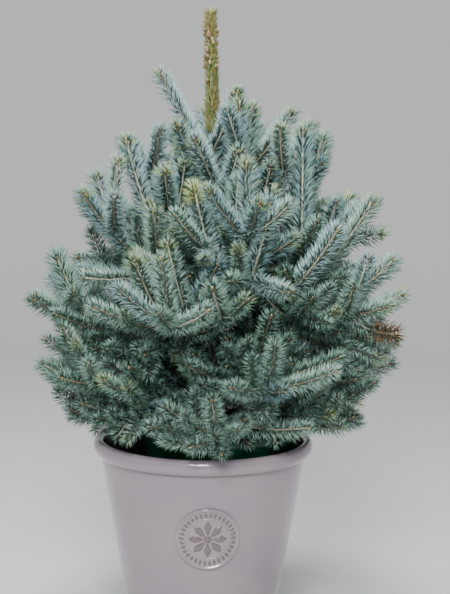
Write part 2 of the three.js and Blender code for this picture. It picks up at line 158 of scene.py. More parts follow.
def chance(*keys):
    """The same draw from 0 to 1 for the same keys, whatever was drawn before it. The last key
    says what the draw is for."""
    state = SEED
    for key in keys:
        state = ((state ^ (key + 0x9E37)) * 0x85EBCA6B) & 0xFFFFFFFF
        state ^= state >> 13
        state = (state * 0xC2B2AE35) & 0xFFFFFFFF
        state ^= state >> 16
    return state / 4294967296


def around(middle, spread, *keys):
    return middle + spread * (2 * chance(*keys) - 1)


def outward(degrees):
    angle = math.radians(degrees)
    return np.array([math.cos(angle), math.sin(angle), 0.0])


def unit(vector):
    return vector / np.linalg.norm(vector)


def lerp(a, b, share):
    return a + (b - a) * share


def climb(height, foot, top):
    """From 0 at the foot and below it to 1 at the top and above it."""
    return min(1, max(0, (height - foot) / (top - foot)))


def high_up(point):
    """From 0 in the low crown to 1 in its top whorls."""
    return climb(point[2], 560, 910)


def trunk_at(height):
    above = height - COMPOST_TOP
    return np.array([NURSERY_X - 1 + TRUNK_LEAN * above, 3 * math.sin(above / 115), height])


def trunk_radius(height):
    share = min(1, (height - COMPOST_TOP) / (TRUNK_TIP - COMPOST_TOP))
    taper = TRUNK_BASE_RADIUS + (TRUNK_TIP_RADIUS - TRUNK_BASE_RADIUS) * math.sqrt(share)
    flare = max(0, 1 - (height - COMPOST_TOP) / FLARE_TALL)
    return taper + FLARE_EXTRA * flare * flare


class Bough:
    """One bough: its whorl, its bearing and the curve that it and its mass's main stem follow."""

    def __init__(self, row, k):
        self.whorl, at, self.bare, self.spread, tips = WHORLS[row]
        self.row, self.k = row, k
        bearing, reach, height = tips[k]
        stagger = (2 * k) % len(tips) - (len(tips) - 1) / 2
        self.start = trunk_at(at + WHORL_STAGGER * stagger)
        self.bearing = around(bearing, 6, row, k, 1)
        self.tip = outward(self.bearing) * around(reach, reach * 0.03, row, k, 2)
        self.tip[0] += CROWN_X
        self.tip[2] = around(height, 10, row, k, 4)
        self.knee = lerp(self.start, self.tip, 0.58)
        self.knee[2] = self.start[2] + KNEE_RISE * (self.tip[2] - self.start[2])
        self.name = f"{self.whorl}_{k + 1}"

    def at(self, share):
        left = 1 - share
        return left * left * self.start + 2 * left * share * self.knee + share * share * self.tip

    def heading(self, share):
        return unit(self.at(min(1, share + 0.01)) - self.at(max(0, share - 0.01)))

    def radius(self, share):
        return lerp(0.45 * trunk_radius(self.start[2]) + 1.4, BOUGH_TIP_RADIUS, share)


class Shoot:
    """A straight length of growth. Its kind is old or new wood, long or fine for the shoots that
    only the looks have, or limb for a bare stretch that twigs stand on."""

    def __init__(self, bough, order, key, start, tip, radius, parent=None, leave=0.0, kind="new"):
        self.bough, self.order, self.key = bough, order, key
        self.start, self.tip, self.radius = start, tip, radius
        self.parent, self.leave, self.kind = parent, leave, kind
        self.length = float(np.linalg.norm(tip - start))
        self.dead = self.fresh = False

    def keys(self):
        return self.bough.row, self.bough.k, self.key


class Standing:
    """All lengths that stand so far, as arrays, so that a new one is measured against all."""

    def __init__(self, room=8000):
        self.starts, self.tips = np.zeros((room, 3)), np.zeros((room, 3))
        self.radii, self.boughs, self.count = np.zeros(room), np.zeros(room, int), 0
        self.shoots = []

    def add(self, start, tip, radius, bough, shoot=None):
        at = self.count
        self.starts[at], self.tips[at], self.radii[at] = start, tip, radius
        self.boughs[at] = bough_number(bough)
        self.shoots.append(shoot)
        self.count += 1

    def apart(self, start, tip):
        """The shortest distance from a straight length to each one that stands."""
        starts, ends = self.starts[:self.count], self.tips[:self.count]
        d1, d2, r = tip - start, ends - starts, start - starts
        a, b, c = d1 @ d1, d2 @ d1, r @ d1
        e = np.einsum("ij,ij->i", d2, d2)
        f = np.einsum("ij,ij->i", d2, r)
        slant = a * e - b * b
        s = np.where(slant > 1e-9, (b * f - c * e) / np.maximum(slant, 1e-9), 0).clip(0, 1)
        t = ((b * s + f) / e).clip(0, 1)
        s = ((b * t - c) / a).clip(0, 1)
        return np.linalg.norm(r + s[:, None] * d1 - t[:, None] * d2, axis=1)


def bough_number(bough):
    return -1 if bough is None else bough.row * 10 + bough.k


def crown_radius(height):
    if height >= CROWN_WIDEST_HEIGHT:
        share = min(1, (height - CROWN_WIDEST_HEIGHT) / CROWN_DOME)
        return CROWN_WIDEST * (1 - share ** 1.4) ** 0.75
    share = (CROWN_WIDEST_HEIGHT - height) / CROWN_SKIRT
    return CROWN_WIDEST * (1 - 0.45 * share ** 1.8)


def inside_crown(point):
    return math.hypot(point[0] - CROWN_X, point[1]) <= crown_radius(point[2])


def above_pots(point):
    over_nursery = math.hypot(point[0] - NURSERY_X, point[1]) < NURSERY_RADIUS + SPRAY_RADIUS
    return point[2] - (NURSERY_TOP if over_nursery else PLANTER_HEIGHT)


def bare_limbs(boughs):
    limbs = Standing(400)
    for bough in boughs:
        for step in range(3 if bough.bare else 0):
            ends = [bough.at(share / 3 * bough.bare) for share in (step, step + 1)]
            limbs.add(*ends, bough.radius(step / 3), bough)
    for height in range(COMPOST_TOP, TRUNK_TIP, TRUNK_PIECE):
        upper = min(TRUNK_TIP, height + TRUNK_PIECE)
        limbs.add(trunk_at(height), trunk_at(upper), trunk_radius(height), None)
    return limbs


def main_shoots(bough):
    """A mass's main stem: last year's wood, and the shoot at its end."""
    if bough.bare == 0:
        return [Shoot(bough, 0, 1, bough.at(0), bough.at(1), SPRAY_RADIUS)]
    joint = bough.at(bough.bare + (1 - bough.bare) * OLD_WOOD)
    start = bough.at(bough.bare) + bough.heading(bough.bare) * GAP
    old = Shoot(bough, 0, 1, start, joint, OLD_SPRAY_RADIUS, kind="old")
    return [old, Shoot(bough, 0, 2, joint, bough.at(1), SPRAY_RADIUS)]


def sides_of(shoot, along):
    """Two directions square to a shoot: level, and upwards."""
    level = np.cross(along, UP)
    if np.linalg.norm(level) < 0.3:
        level = outward(shoot.bough.bearing + 90)
    level = unit(level)
    return level, np.cross(level, along)


def leaning(shoot, roll, lean):
    """The direction of a twig that leaves a shoot at these angles, in degrees."""
    along = unit(shoot.tip - shoot.start)
    level, above = sides_of(shoot, along)
    roll, lean = math.radians(roll), math.radians(lean)
    return (along * math.cos(lean) + level * math.sin(lean) * math.cos(roll)
            + above * math.sin(lean) * math.sin(roll))


def side_shoot(parent, index):
    """The start, heading, length, key and leaving point of one side shoot, or None."""
    bough = parent.bough
    old = parent.kind == "old"
    turns = SIDE_TURNS if parent.order == 0 else SIDE_TURNS[:2]
    if index >= len(turns):
        return None
    keys = (*parent.keys(), index)
    leave = around(0.16, 0.08, *parent.keys(), 5)
    leave = (JOINT_CLEAR / parent.length if old else leave) + 0.05 * index
    heading = leaning(parent, around(turns[index], 12, *keys, 6), around(bough.spread, 6, *keys, 7))
    full = OLD_SIDE_LENGTH if old else SIDE_LENGTH - ORDER_LOSS * parent.order
    start = lerp(parent.start, parent.tip, leave)
    return start, heading, full * around(0.93, 0.09, *keys, 8), parent.key * 5 + index + 3, leave


def room_for(start, tip, parent, standing, limbs):
    """Whether a shoot keeps its distance from other masses, other limbs and its own kin."""
    own = bough_number(parent.bough)
    apart = standing.apart(start, tip)
    foreign = standing.boughs[:standing.count] != own
    if (apart[foreign] < MASS_SPACING).any():
        return False
    clear = SPRAY_RADIUS + limbs.radii[:limbs.count] + 2 * GAP
    others = limbs.boughs[:limbs.count] != own
    if (limbs.apart(start, tip) < clear)[others].any():
        return False
    outer = standing.apart(lerp(start, tip, 0.4), tip)
    outer[[shoot is parent for shoot in standing.shoots]] = KIN_SPACING + 1
    return (outer[~foreign] > KIN_SPACING).all()


def fitted(parent, index, standing, limbs):
    """A side shoot, shortened to stay within the crown and clear of what already grew."""
    plan = side_shoot(parent, index)
    if plan is None:
        return None
    start, heading, length, key, leave = plan
    while length >= SHORTEST_SHOOT:
        tip = start + heading * length
        within = inside_crown(tip) and above_pots(tip) > LOWEST_SHOOT
        if within and room_for(start, tip, parent, standing, limbs):
            return Shoot(parent.bough, parent.order + 1, key, start, tip, SPRAY_RADIUS,
                         parent, leave)
        length *= 0.9
    return None


def grow_foliage(boughs, limbs):
    """All shoots of all masses, one order of branching after another, as in the solids."""
    grown = [shoot for bough in boughs for shoot in main_shoots(bough)]
    standing = Standing()
    for shoot in grown:
        standing.add(shoot.start, shoot.tip, shoot.radius, shoot.bough, shoot)
    parents = grown[::-1]
    for _ in range(2):
        following = []
        for index in range(4):
            for parent in parents:
                long = parent.order == 0 or parent.length > FORK_FROM
                child = fitted(parent, index, standing, limbs) if long else None
                if child:
                    standing.add(child.start, child.tip, child.radius, child.bough, child)
                    grown.append(child)
                    following.append(child)
        parents = following
    return grown, standing


# ---- finer twigs that only the looks have, within the same reach ----

FINE_SPACING = 19.2                 # between fine twigs, from stem to stem
LOW_SPACING = 16.5                  # and the same in the shade just above the pots
SHADE_TOP = 470
FINE_RADIUS = 18
LONG_RADIUS = 28
FINE_LOWEST = 9                     # above the rim below it
FINE_SHORTEST = 34
FINE_PARENT = 62                    # the shortest shoot that carries fine twigs
FINE_TURNS = (8, 172, 78, 262)      # degrees round the parent, from level on one side
FINE_STRETCHES = ((0.08, 0.4, 0), (0.4, 0.76, 0), (0.05, 0.6, 2))    # from, to, lowest order
TRUNK_STEP = 11                     # height between the short twigs on the trunk
TRUNK_TWIGS = (412, 800)            # from and up to these heights
TRUNK_PARTS = 6
LIMB_STEP = 14                      # the same along a bough
SHOOT_STEP = 13                     # and along a shoot, where twigs stand in pairs
LIMB_TWIGS_FROM = 0.06              # share of a bough's length
LIMB_KEY, TRUNK_KEY = 50, 60        # keys that tell kinds of growth apart in the draws
LIMB_TWIG_KEY, FINE_KEY, LONG_KEY = 300, 400, 900
GOLDEN_TURN = 137.508               # degrees
FULL_TO = 640                       # up to this height fine twigs reach out as far as the rest does
THIN_FROM = 900                     # and from here up there are hardly any
LEADER_FREE_FROM = 845
LEADER_FREE = 52                    # from there up no fine twig ends nearer to the trunk
LONG_FROM = 560                     # tips above this height are those of long shoots


def fine_reach(height):
    """How far out fine twigs may reach, as a share of the crown's radius."""
    return float(np.interp(height, [430, 560, FULL_TO, THIN_FROM], [1.0, 0.97, 0.9, 0.5]))


def filling(point):
    """Whether a fine twig may end here: inside the crown, clear of the longer shoots' tips and of
    the leader, which stands free."""
    out = math.hypot(point[0] - CROWN_X, point[1])
    from_trunk = np.linalg.norm(point - trunk_at(point[2]))
    if point[2] > LEADER_FREE_FROM and from_trunk < LEADER_FREE:
        return False
    return out < fine_reach(point[2]) * crown_radius(point[2]) and above_pots(point) > FINE_LOWEST


def fine_twig(parent, start, heading, length, leave, key, standing, limbs):
    """A short twig, shortened until it fits among the rest, or None."""
    while length >= FINE_SHORTEST:
        tip = start + heading * length
        if filling(tip) and free_stretch(lerp(start, tip, 0.45), tip, standing, limbs):
            return Shoot(parent.bough, parent.order + 1, key, start, tip, FINE_RADIUS,
                         parent, leave, "fine")
        length *= 0.86
    return None


def free_stretch(start, tip, standing, limbs):
    between = np.interp(tip[2], [SHADE_TOP, SHADE_TOP + 50], [LOW_SPACING, FINE_SPACING])
    spacing = between + standing.radii[:standing.count] - FINE_RADIUS
    if (standing.apart(start, tip) < spacing).any():
        return False
    return (limbs.apart(start, tip) > limbs.radii[:limbs.count] + 6).all()


def limb_shoot(bough, start, tip, key):
    """A bare stretch of a limb, as the parent of the twigs along it."""
    return Shoot(bough, 0, key, start, tip, 0, kind="limb")


def limb_parents(boughs):
    """Bare stretches of boughs and trunk with the number of twigs to try on each."""
    stretches = []
    for bough in boughs:
        if bough.bare:
            part = limb_shoot(bough, bough.at(LIMB_TWIGS_FROM), bough.at(bough.bare), LIMB_KEY)
            stretches.append((part, int(part.length / LIMB_STEP)))
    for step in range(TRUNK_PARTS):
        ends = [trunk_at(lerp(*TRUNK_TWIGS, share / TRUNK_PARTS)) for share in (step, step + 1)]
        part = limb_shoot(boughs[0], *ends, TRUNK_KEY + step)
        stretches.append((part, int(part.length / TRUNK_STEP)))
    return stretches


# Foot and tip of the long shoots that stand up in the sun at the front of the crown, then of
# a few short ones that hang over the pots; the first one ends in fresh growth.
LONG_SHOOTS = (
    ((-5, -150, 685), (-15, -175, 810)), ((60, -55, 765), (55, -80, 945)),
    ((-75, -75, 745), (-130, -80, 885)), ((140, -65, 740), (160, -75, 905)),
    ((160, -40, 750), (195, -30, 890)), ((-70, -190, 580), (-105, -230, 700)),
    ((25, -210, 585), (15, -275, 665)), ((-130, -70, 730), (-178, -80, 825)),
    ((215, -50, 695), (280, -50, 790)), ((235, -60, 625), (315, -60, 690)),
    ((-185, -50, 615), (-250, -40, 690)), ((95, -150, 695), (105, -190, 790)),
    ((170, -140, 650), (212, -178, 750)), ((-25, -90, 765), (-70, -120, 830)),
    ((62, -95, 440), (77, -152, 398)), ((95, -90, 445), (117, -152, 401)),
    ((125, -80, 450), (149, -130, 408)), ((150, -50, 455), (180, -102, 420)),
    ((30, 55, 445), (54, 112, 407)),
)
DEAD_SHOOT = ((258, -126, 566), (308, -172, 584))


def nearest_on(shoots, place):
    """The shoot that passes nearest to a place, and the share of its length where it does."""
    best = None
    for shoot in shoots:
        along = shoot.tip - shoot.start
        share = min(0.9, max(0.05, float((place - shoot.start) @ along / (along @ along))))
        apart = np.linalg.norm(lerp(shoot.start, shoot.tip, share) - place)
        if best is None or apart < best[0]:
            best = (apart, shoot, share)
    return best[1:]


def grow_long(grown, standing):
    """The long shoots and the dead one, each from the nearest older wood to its own tip."""
    made = []
    for number, (foot, tip) in enumerate(LONG_SHOOTS + (DEAD_SHOOT,)):
        parent, leave = nearest_on(grown, np.array(foot, float))
        start = lerp(parent.start, parent.tip, leave)
        kind = "long" if tip[2] > LONG_FROM else "new"
        shoot = Shoot(parent.bough, 1, LONG_KEY + number, start, np.array(tip, float), LONG_RADIUS,
                      parent, leave, kind)
        shoot.dead = number == len(LONG_SHOOTS)
        shoot.fresh = number == 0
        keep(made, standing, shoot)
    return made


def away_from_axis(point):
    """Level and outwards from the crown's upright axis, with a slight climb."""
    return unit(np.array([point[0] - CROWN_X, point[1], 60.0]))


def twigs_on_limbs(boughs, fine, standing, limbs):
    """Short twigs in a spiral along the bare boughs and the trunk."""
    for parent, count in limb_parents(boughs):
        for index in range(count):
            leave = (index + 0.5) / count
            keys = (*parent.keys(), index)
            heading = leaning(parent, GOLDEN_TURN * index, around(58, 12, *keys, 11))
            length = around(92, 22, *keys, 12)
            start = lerp(parent.start, parent.tip, leave)
            keep(fine, standing, fine_twig(parent, start, heading, length, leave,
                                           LIMB_TWIG_KEY + index, standing, limbs))


def twig_along(parent, share_from, share_to, count, index, standing, limbs):
    """One of the fine twigs on a stretch of a shoot, turned outwards where it is low, or None."""
    keys = (*parent.keys(), index)
    leave = lerp(share_from, share_to, (index // 2 + chance(*keys, 13)) / count)
    start = lerp(parent.start, parent.tip, leave)
    high = climb(start[2], 600, 850)
    turn = around(FINE_TURNS[index % 4], 34, *keys, 14)
    heading = leaning(parent, turn, around(lerp(52, 40, high), 10, *keys, 15))
    heading = unit(heading + lerp(0.4, 0, high) * away_from_axis(start))
    length = around(lerp(74, 96, high), 18, *keys, 16) * (1 - 0.4 * leave)
    return fine_twig(parent, start, heading, length, leave, parent.key * 9 + index + FINE_KEY,
                     standing, limbs)


def grow_fine(boughs, grown, standing, limbs):
    """Short twigs along the bare limbs, then along every shoot, each by turns round its parent."""
    fine = []
    twigs_on_limbs(boughs, fine, standing, limbs)
    for share_from, share_to, lowest_order in FINE_STRETCHES:
        for parent in grown + fine[:]:
            too_high = lowest_order > 0 and parent.tip[2] > FULL_TO
            if too_high or not lowest_order <= parent.order <= 3 or parent.length < FINE_PARENT:
                continue
            count = max(1, int(parent.length * (share_to - share_from) / SHOOT_STEP))
            for index in range(count * 2):
                keep(fine, standing, twig_along(parent, share_from, share_to, count, index,
                                                standing, limbs))
    return fine


def keep(gathered, standing, shoot):
    if shoot:
        gathered.append(shoot)
        standing.add(shoot.start, shoot.tip, shoot.radius, shoot.bough, shoot)


# ---- the same growth with a gentle bow, for the twigs, needles and buds ----

def bow_of(shoot):
    """How far and which way a shoot's middle hangs off its straight line."""
    along = unit(shoot.tip - shoot.start)
    sag = UP - along * along[2]
    sway = np.cross(along, UP) * around(0, 0.02, *shoot.keys(), 21)
    return (-0.045 * sag + sway) * shoot.length


def bend(shoots):
    """Gives each shoot its bow, and starts it on the bowed line of its parent."""
    for shoot in shoots:
        shoot.bow = bow_of(shoot)
        parent = shoot.parent
        if parent is not None and parent.kind != "limb":
            shoot.start = curve(parent, np.array([shoot.leave]))[0]
        elif parent is not None:
            shoot.start = limb_point(parent, shoot.leave)


def limb_point(parent, leave):
    """The place on the true curve of a bough or of the trunk."""
    if parent.key >= TRUNK_KEY:
        return trunk_at(lerp(parent.start[2], parent.tip[2], leave))
    return parent.bough.at(lerp(LIMB_TWIGS_FROM, parent.bough.bare, leave))


def curve(shoot, shares):
    shares = shares[:, None]
    straight = shoot.start + (shoot.tip - shoot.start) * shares
    return straight + shoot.bow * 4 * shares * (1 - shares)


def headings(shoot, shares):
    ways = (shoot.tip - shoot.start) + shoot.bow * 4 * (1 - 2 * shares[:, None])
    return rows_of_unit_length(ways)


def rows_of_unit_length(rows):
    return rows / np.linalg.norm(rows, axis=1)[:, None]


def square_to(ways):
    """Two directions square to each row's direction and to each other."""
    steep = np.abs(ways[:, 2:3]) > 0.9
    least = np.where(steep, np.array([1.0, 0, 0]), UP)
    first = rows_of_unit_length(np.cross(ways, least))
    return first, np.cross(ways, first)


# ---- needles ----

NEEDLE_LENGTH = 23.0
NEEDLE_HALF = (0.54, 0.66)          # half its width, low in the crown and high in it
NEEDLES_PER_MM = {"long": 3.6, "new": 2.8, "fine": 2.5, "old": 1.8}
DEAD_NEEDLES = 0.6                  # share of its needles that the dead spray still has
NEW_SIZE = (1.04, 1.16)             # of the needles on new shoots, low and high in the crown
LONG_SIZE, OTHER_SIZE = 1.28, 0.9
LEAN = (62, 53)                     # degrees between a needle and its shoot, low and high
LIFT = 0.12                         # how far needles on a level shoot are swept upwards
PARTING = 0.42                      # how far they part along its under side
TIP_NEEDLES = 14                    # how many more stand round its end bud


class Needles:
    """Needles of many sprays, as arrays of root, two sides and tip, with a tone for each."""

    def __init__(self):
        self.points, self.tones = [], []

    def add(self, root, heading, size, tone, back, half):
        """A needle's two sides lie on the outer side of its curve, where back points; half is
        half its width."""
        bulge = (half * 1.5 + size * 0.03)[:, None]
        middle = root + heading * (size * 0.4)[:, None] + back * bulge
        across = np.cross(heading, back) * half
        corners = (root, middle - across, middle + across, root + heading * size[:, None])
        self.points.append(np.stack(corners, axis=1))
        self.tones.append(tone)


def parted(turn, amount):
    """Angles round a shoot from its under side, pushed apart there so that its bark shows."""
    turn = (turn + math.pi) % (2 * math.pi) - math.pi
    return np.sign(turn) * math.pi * (np.abs(turn) / math.pi) ** (1 - amount)


def along_shoot(shoot, length):
    """Where needles stand, as shares of the length: evenly with some play, and more at the tip."""
    kept = DEAD_NEEDLES if shoot.dead else 1
    count = int(length * NEEDLES_PER_MM[shoot.kind] * kept)
    shares = (np.arange(count) + draw.uniform(0, 1, count)) / count
    return np.append(shares, 1 - draw.uniform(0, 6, TIP_NEEDLES) / length)


def round_shoot(left, high):
    """Each needle's angle round its shoot: a golden-angle spiral, parted below behind the tip."""
    turn = np.arange(len(left)) * math.radians(GOLDEN_TURN) + draw.normal(0, 0.35, len(left))
    return parted(turn, PARTING * lerp(0.1, 1, high) * np.interp(left, [8, 30], [0, 1]))


def off_shoot(past, left, high):
    """Each needle's angle off its shoot: wide at its foot, and closing at its tip."""
    lean = np.interp(left, [0, 5, 18], [28, 48, lerp(*LEAN, high)])
    lean = lean + np.interp(past, [0, 12], [12, 0])
    return np.radians(lean + draw.normal(0, 1, len(left)) * np.interp(left, [0, 14], [17, 7]))


def needle_sizes(kind, past, left, high):
    size = NEEDLE_LENGTH * np.interp(left, [0, 8, 20], [0.8, 0.9, 1])
    size = size * np.interp(past, [0, 14], [0.7, 1])
    by_kind = {"long": LONG_SIZE, "new": lerp(*NEW_SIZE, high)}.get(kind, OTHER_SIZE)
    return size * (draw.uniform(0.86, 1.06, len(left)) * by_kind)


def clothe(shoot, needles):
    """Needles round one shoot, swept forwards along it and a little upwards."""
    length = float(np.linalg.norm(shoot.tip - shoot.start))
    high = high_up(shoot.tip)
    shares = along_shoot(shoot, length)
    past, left = shares * length, (1 - shares) * length
    ways = headings(shoot, shares)
    level, above = under_frame(shoot, ways)
    turn = round_shoot(left, high)
    radial = np.sin(turn)[:, None] * level - np.cos(turn)[:, None] * above
    lean = off_shoot(past, left, high)
    heading = ways * np.cos(lean)[:, None] + radial * np.sin(lean)[:, None]
    heading = rows_of_unit_length(heading + UP * LIFT * (1 - np.abs(ways[:, 2:3])))
    size = needle_sizes(shoot.kind, past, left, high)
    back = radial * np.cos(lean)[:, None] - ways * np.sin(lean)[:, None]
    root = curve(shoot, shares) + radial * 0.8
    needles.add(root, heading, size, needle_tones(shoot, left), back, lerp(*NEEDLE_HALF, high))


def under_frame(shoot, ways):
    """Directions square to each row: level, and towards the shoot's upper side."""
    level, _ = sides_of(shoot, ways.mean(axis=0))
    level = rows_of_unit_length(np.cross(ways, np.cross(level, ways)))
    return level, np.cross(level, ways)


# ---- tones: plain colours dealt out by spray ----

# From a deep green, the tone that painted shade pushes sprays towards, through blue-green to a pale
# waxy bloom; then young growth, the leader and the one dead spray.
NEEDLE_TONES = ("#2c4438", "#466457", "#5f8070", "#789a8a", "#86a698", "#96b0a5", "#a5bab1",
                "#67878a", "#7d9b9d", "#92abad",
                "#8c9f76", "#a6b479", "#5b6c36", "#7e683a", "#6a523b")
BLUE_FROM, YOUNG, YELLOW_GREEN, LEADER_GREEN, LEADER_OLIVE, DEAD = 7, 10, 11, 12, 13, 14
PALEST = 6                          # the last of the tones from deep green to pale
MIDDLE_TONE = 3.2                   # of sprays low and far out, counted along them
HIGH_PALER = 1.2                    # how many tones paler a spray is in the top whorls
PAINTED_SHADE_DEPTH = 4.0                   # and how many deeper where it is low and near the trunk: painted shade, with some of the darker green of older inner needles
SPRAY_PLAY = 1.3                    # tones by which a whole spray varies
OLD_DEEPER = 1.3                    # tones by which last year's wood is deeper
NEEDLE_PLAY = (1.05, 0.7)           # and by which its needles do, low in the crown and high
BLUE_SPRAYS = (0.04, 0.9)           # share of sprays with the blue bloom, low and high
BLUE_NEEDLES = 0.72                 # share of a blue spray's needles
YOUNG_SPRAYS = (0.12, 0.85)         # share of sprays with young tips, low and high
YELLOW_SPRAYS = 0.02                # and the few among them with yellow-green ones
YOUNG_NEEDLES = 0.55                # share of the needles near such a tip
YOUNG_TIP, FRESH_TIP = 16, 26       # how far from the end bud young growth reaches


def spray_tone(shoot):
    """The middle tone of a spray: deeper for old wood, deeper with painted shade where it is low
    and near the trunk, paler higher up.
    """
    tip, high = shoot.tip, high_up(shoot.tip)
    out = math.hypot(tip[0] - CROWN_X, tip[1]) / crown_radius(min(tip[2], 960))
    # painted shade: sprays low in the crown and near the trunk take deeper tones, partly also the
    # darker green of older inner needles
    shade = PAINTED_SHADE_DEPTH * max(0, 0.9 - out) * (1 - high)
    tone = MIDDLE_TONE + HIGH_PALER * high - shade + around(0, SPRAY_PLAY, *shoot.keys(), 31)
    return tone - OLD_DEEPER if shoot.kind == "old" else tone


def needle_tones(shoot, left):
    """A tone number for each needle of a spray; left is its distance from the tip."""
    count, high = len(left), high_up(shoot.tip)
    if shoot.dead:
        return np.full(count, DEAD)
    mixed = draw.normal(0, 1, count) * lerp(*NEEDLE_PLAY, high)
    tone = np.rint(spray_tone(shoot) + mixed).clip(0, PALEST).astype(int)
    if chance(*shoot.keys(), 32) < lerp(*BLUE_SPRAYS, high ** 1.5):
        swap = draw.uniform(0, 1, count) < BLUE_NEEDLES
        tone[swap] = BLUE_FROM + (tone[swap] - 3).clip(0, 2)
    young = chance(*shoot.keys(), 33)
    tip_needles = (left < YOUNG_TIP) & (draw.uniform(0, 1, count) < YOUNG_NEEDLES)
    if shoot.fresh:
        tone[left < FRESH_TIP] = YELLOW_GREEN
    elif young < YELLOW_SPRAYS:
        tone[tip_needles] = YELLOW_GREEN
    elif young < lerp(*YOUNG_SPRAYS, high):
        tone[tip_needles] = YOUNG
    return tone


# ---- twigs and buds as closed tubes and ovals ----

TWIG_SIDES = 4
TWIG_RINGS = np.array([0, 0.33, 0.67, 1.0])
TWIG_TONES = ("#4f4a3c", "#6b604c", "#c3bda4", "#a2987d")     # the first two deeper, as painted shade and the darker bark of old wood; the last two pale, as painted sunlight
BUD_TONES = ("#6f6048", "#897653", "#a4956c")


class Closed:
    """Many small closed forms as arrays of points, triangles and a tone for each triangle."""

    def __init__(self):
        self.points, self.faces, self.tones, self.total = [], [], [], 0

    def add(self, points, faces, tone):
        self.points.append(points)
        self.faces.append(faces + self.total)
        self.tones.append(np.full(len(faces), tone))
        self.total += len(points)


def tube_faces(sides, rings):
    """The triangles of a tube closed by a point at its far end."""
    faces = [(0, k + 1, k) for k in range(1, sides - 1)]
    for ring in range(rings - 1):
        for k in range(sides):
            a, b = ring * sides + k, ring * sides + (k + 1) % sides
            faces += [(a, b, b + sides), (a, b + sides, a + sides)]
    last = (rings - 1) * sides
    faces += [(last + k, last + (k + 1) % sides, rings * sides) for k in range(sides)]
    return np.array(faces)


TWIG_FACES = tube_faces(TWIG_SIDES, len(TWIG_RINGS))


def rings_round(centres, ways, radii, sides):
    side, third = square_to(ways)
    angles = np.arange(sides) * 2 * math.pi / sides
    round_way = (np.cos(angles)[None, :, None] * side[:, None]
                 + np.sin(angles)[None, :, None] * third[:, None])
    return (centres[:, None] + radii[:, None, None] * round_way).reshape(-1, 3)


TWIG_RADII = {"old": (2.8, 2.2), "long": (2.6, 1.9), "fine": (1.0, 0.65)}
MAIN_RADII, SIDE_RADII = (2.1, 1.5), (1.7, 1.1)
PAINTED_SUN_TWIGS = (0.12, 0.8)           # share of new twigs with pale bark as painted sunlight, low in the crown and high


def twig_radii(shoot):
    """A twig's radius at its foot and at its tip."""
    return TWIG_RADII.get(shoot.kind, SIDE_RADII if shoot.order else MAIN_RADII)


def twig_tone(shoot):
    if shoot.dead:
        return 1
    # painted sunlight: pale bark on all long shoots and on new ones more often high up; the rest
    # take the deeper tones as painted shade
    painted_sun = lerp(*PAINTED_SUN_TWIGS, high_up(shoot.tip)) if shoot.kind == "new" else shoot.kind == "long"
    if chance(*shoot.keys(), 41) < painted_sun:
        return 2 + int(chance(*shoot.keys(), 42) * 2)
    return int(shoot.kind not in ("old", "fine"))


def add_twig(shoot, twigs):
    first, last = twig_radii(shoot)
    ways = headings(shoot, TWIG_RINGS)
    centres = curve(shoot, TWIG_RINGS)
    points = rings_round(centres, ways, lerp(first, last, TWIG_RINGS), TWIG_SIDES)
    points = np.vstack([points, centres[-1] + ways[-1] * last])
    twigs.add(points, TWIG_FACES, twig_tone(shoot))


BUD_SIDES = 5
BUD_SHAPE = ((0.0, 0.55), (0.28, 1.0), (0.62, 0.78))     # share of its length, share of its radius
BUD_FACES = tube_faces(BUD_SIDES, len(BUD_SHAPE))


def add_bud(buds, base, way, length, radius, tone):
    shares = np.array([share for share, _ in BUD_SHAPE])
    centres = base + way * (shares * length)[:, None]
    ways = np.repeat(way[None], len(shares), axis=0)
    radii = np.array([wide for _, wide in BUD_SHAPE]) * radius
    points = np.vstack([rings_round(centres, ways, radii, BUD_SIDES), base + way * length])
    buds.add(points, BUD_FACES, tone)


def bud_cluster(buds, tip, way, count, keys, size=1.0):
    """An end bud with a few smaller ones just behind and beside it."""
    side, third = (rows[0] for rows in square_to(way[None]))
    tone = int(chance(*keys, 51) * 3)
    length = around(6.4, 0.8, *keys, 52) * size
    add_bud(buds, tip - way * 1.2 * size, way, length, 2.1 * size, tone)
    for number in range(count):
        turn = number * 2 * math.pi / count + chance(*keys, 53) * 6
        off = side * math.cos(turn) + third * math.sin(turn)
        lean = unit(way * 0.75 + off * 0.7)
        base = tip - way * around(4, 1.5, *keys, number, 54) * size + off * 0.5
        add_bud(buds, base, lean, 4.8 * size, 1.6 * size, (tone + number) % 3)


def add_buds(shoot, buds):
    """An end bud on every shoot but some of the fine twigs."""
    keys = shoot.keys()
    fine = shoot.kind == "fine"
    if fine and chance(*keys, 55) < 0.4:
        return
    way = headings(shoot, np.array([1.0]))[0]
    size = {"fine": 0.8, "long": 1.5}.get(shoot.kind, lerp(1, 1.3, high_up(shoot.tip)))
    count = 1 if fine else int(around(2.5, 1.5, *keys, 56))
    bud_cluster(buds, shoot.tip, way, count, keys, size)


# ---- the leader: short needles held close to the stem, with buds up it ----

LEADER_NEEDLES = 3200
LEADER_BUDS = 44
LEADER_NODE = 1011                  # height of the ring of buds part way up


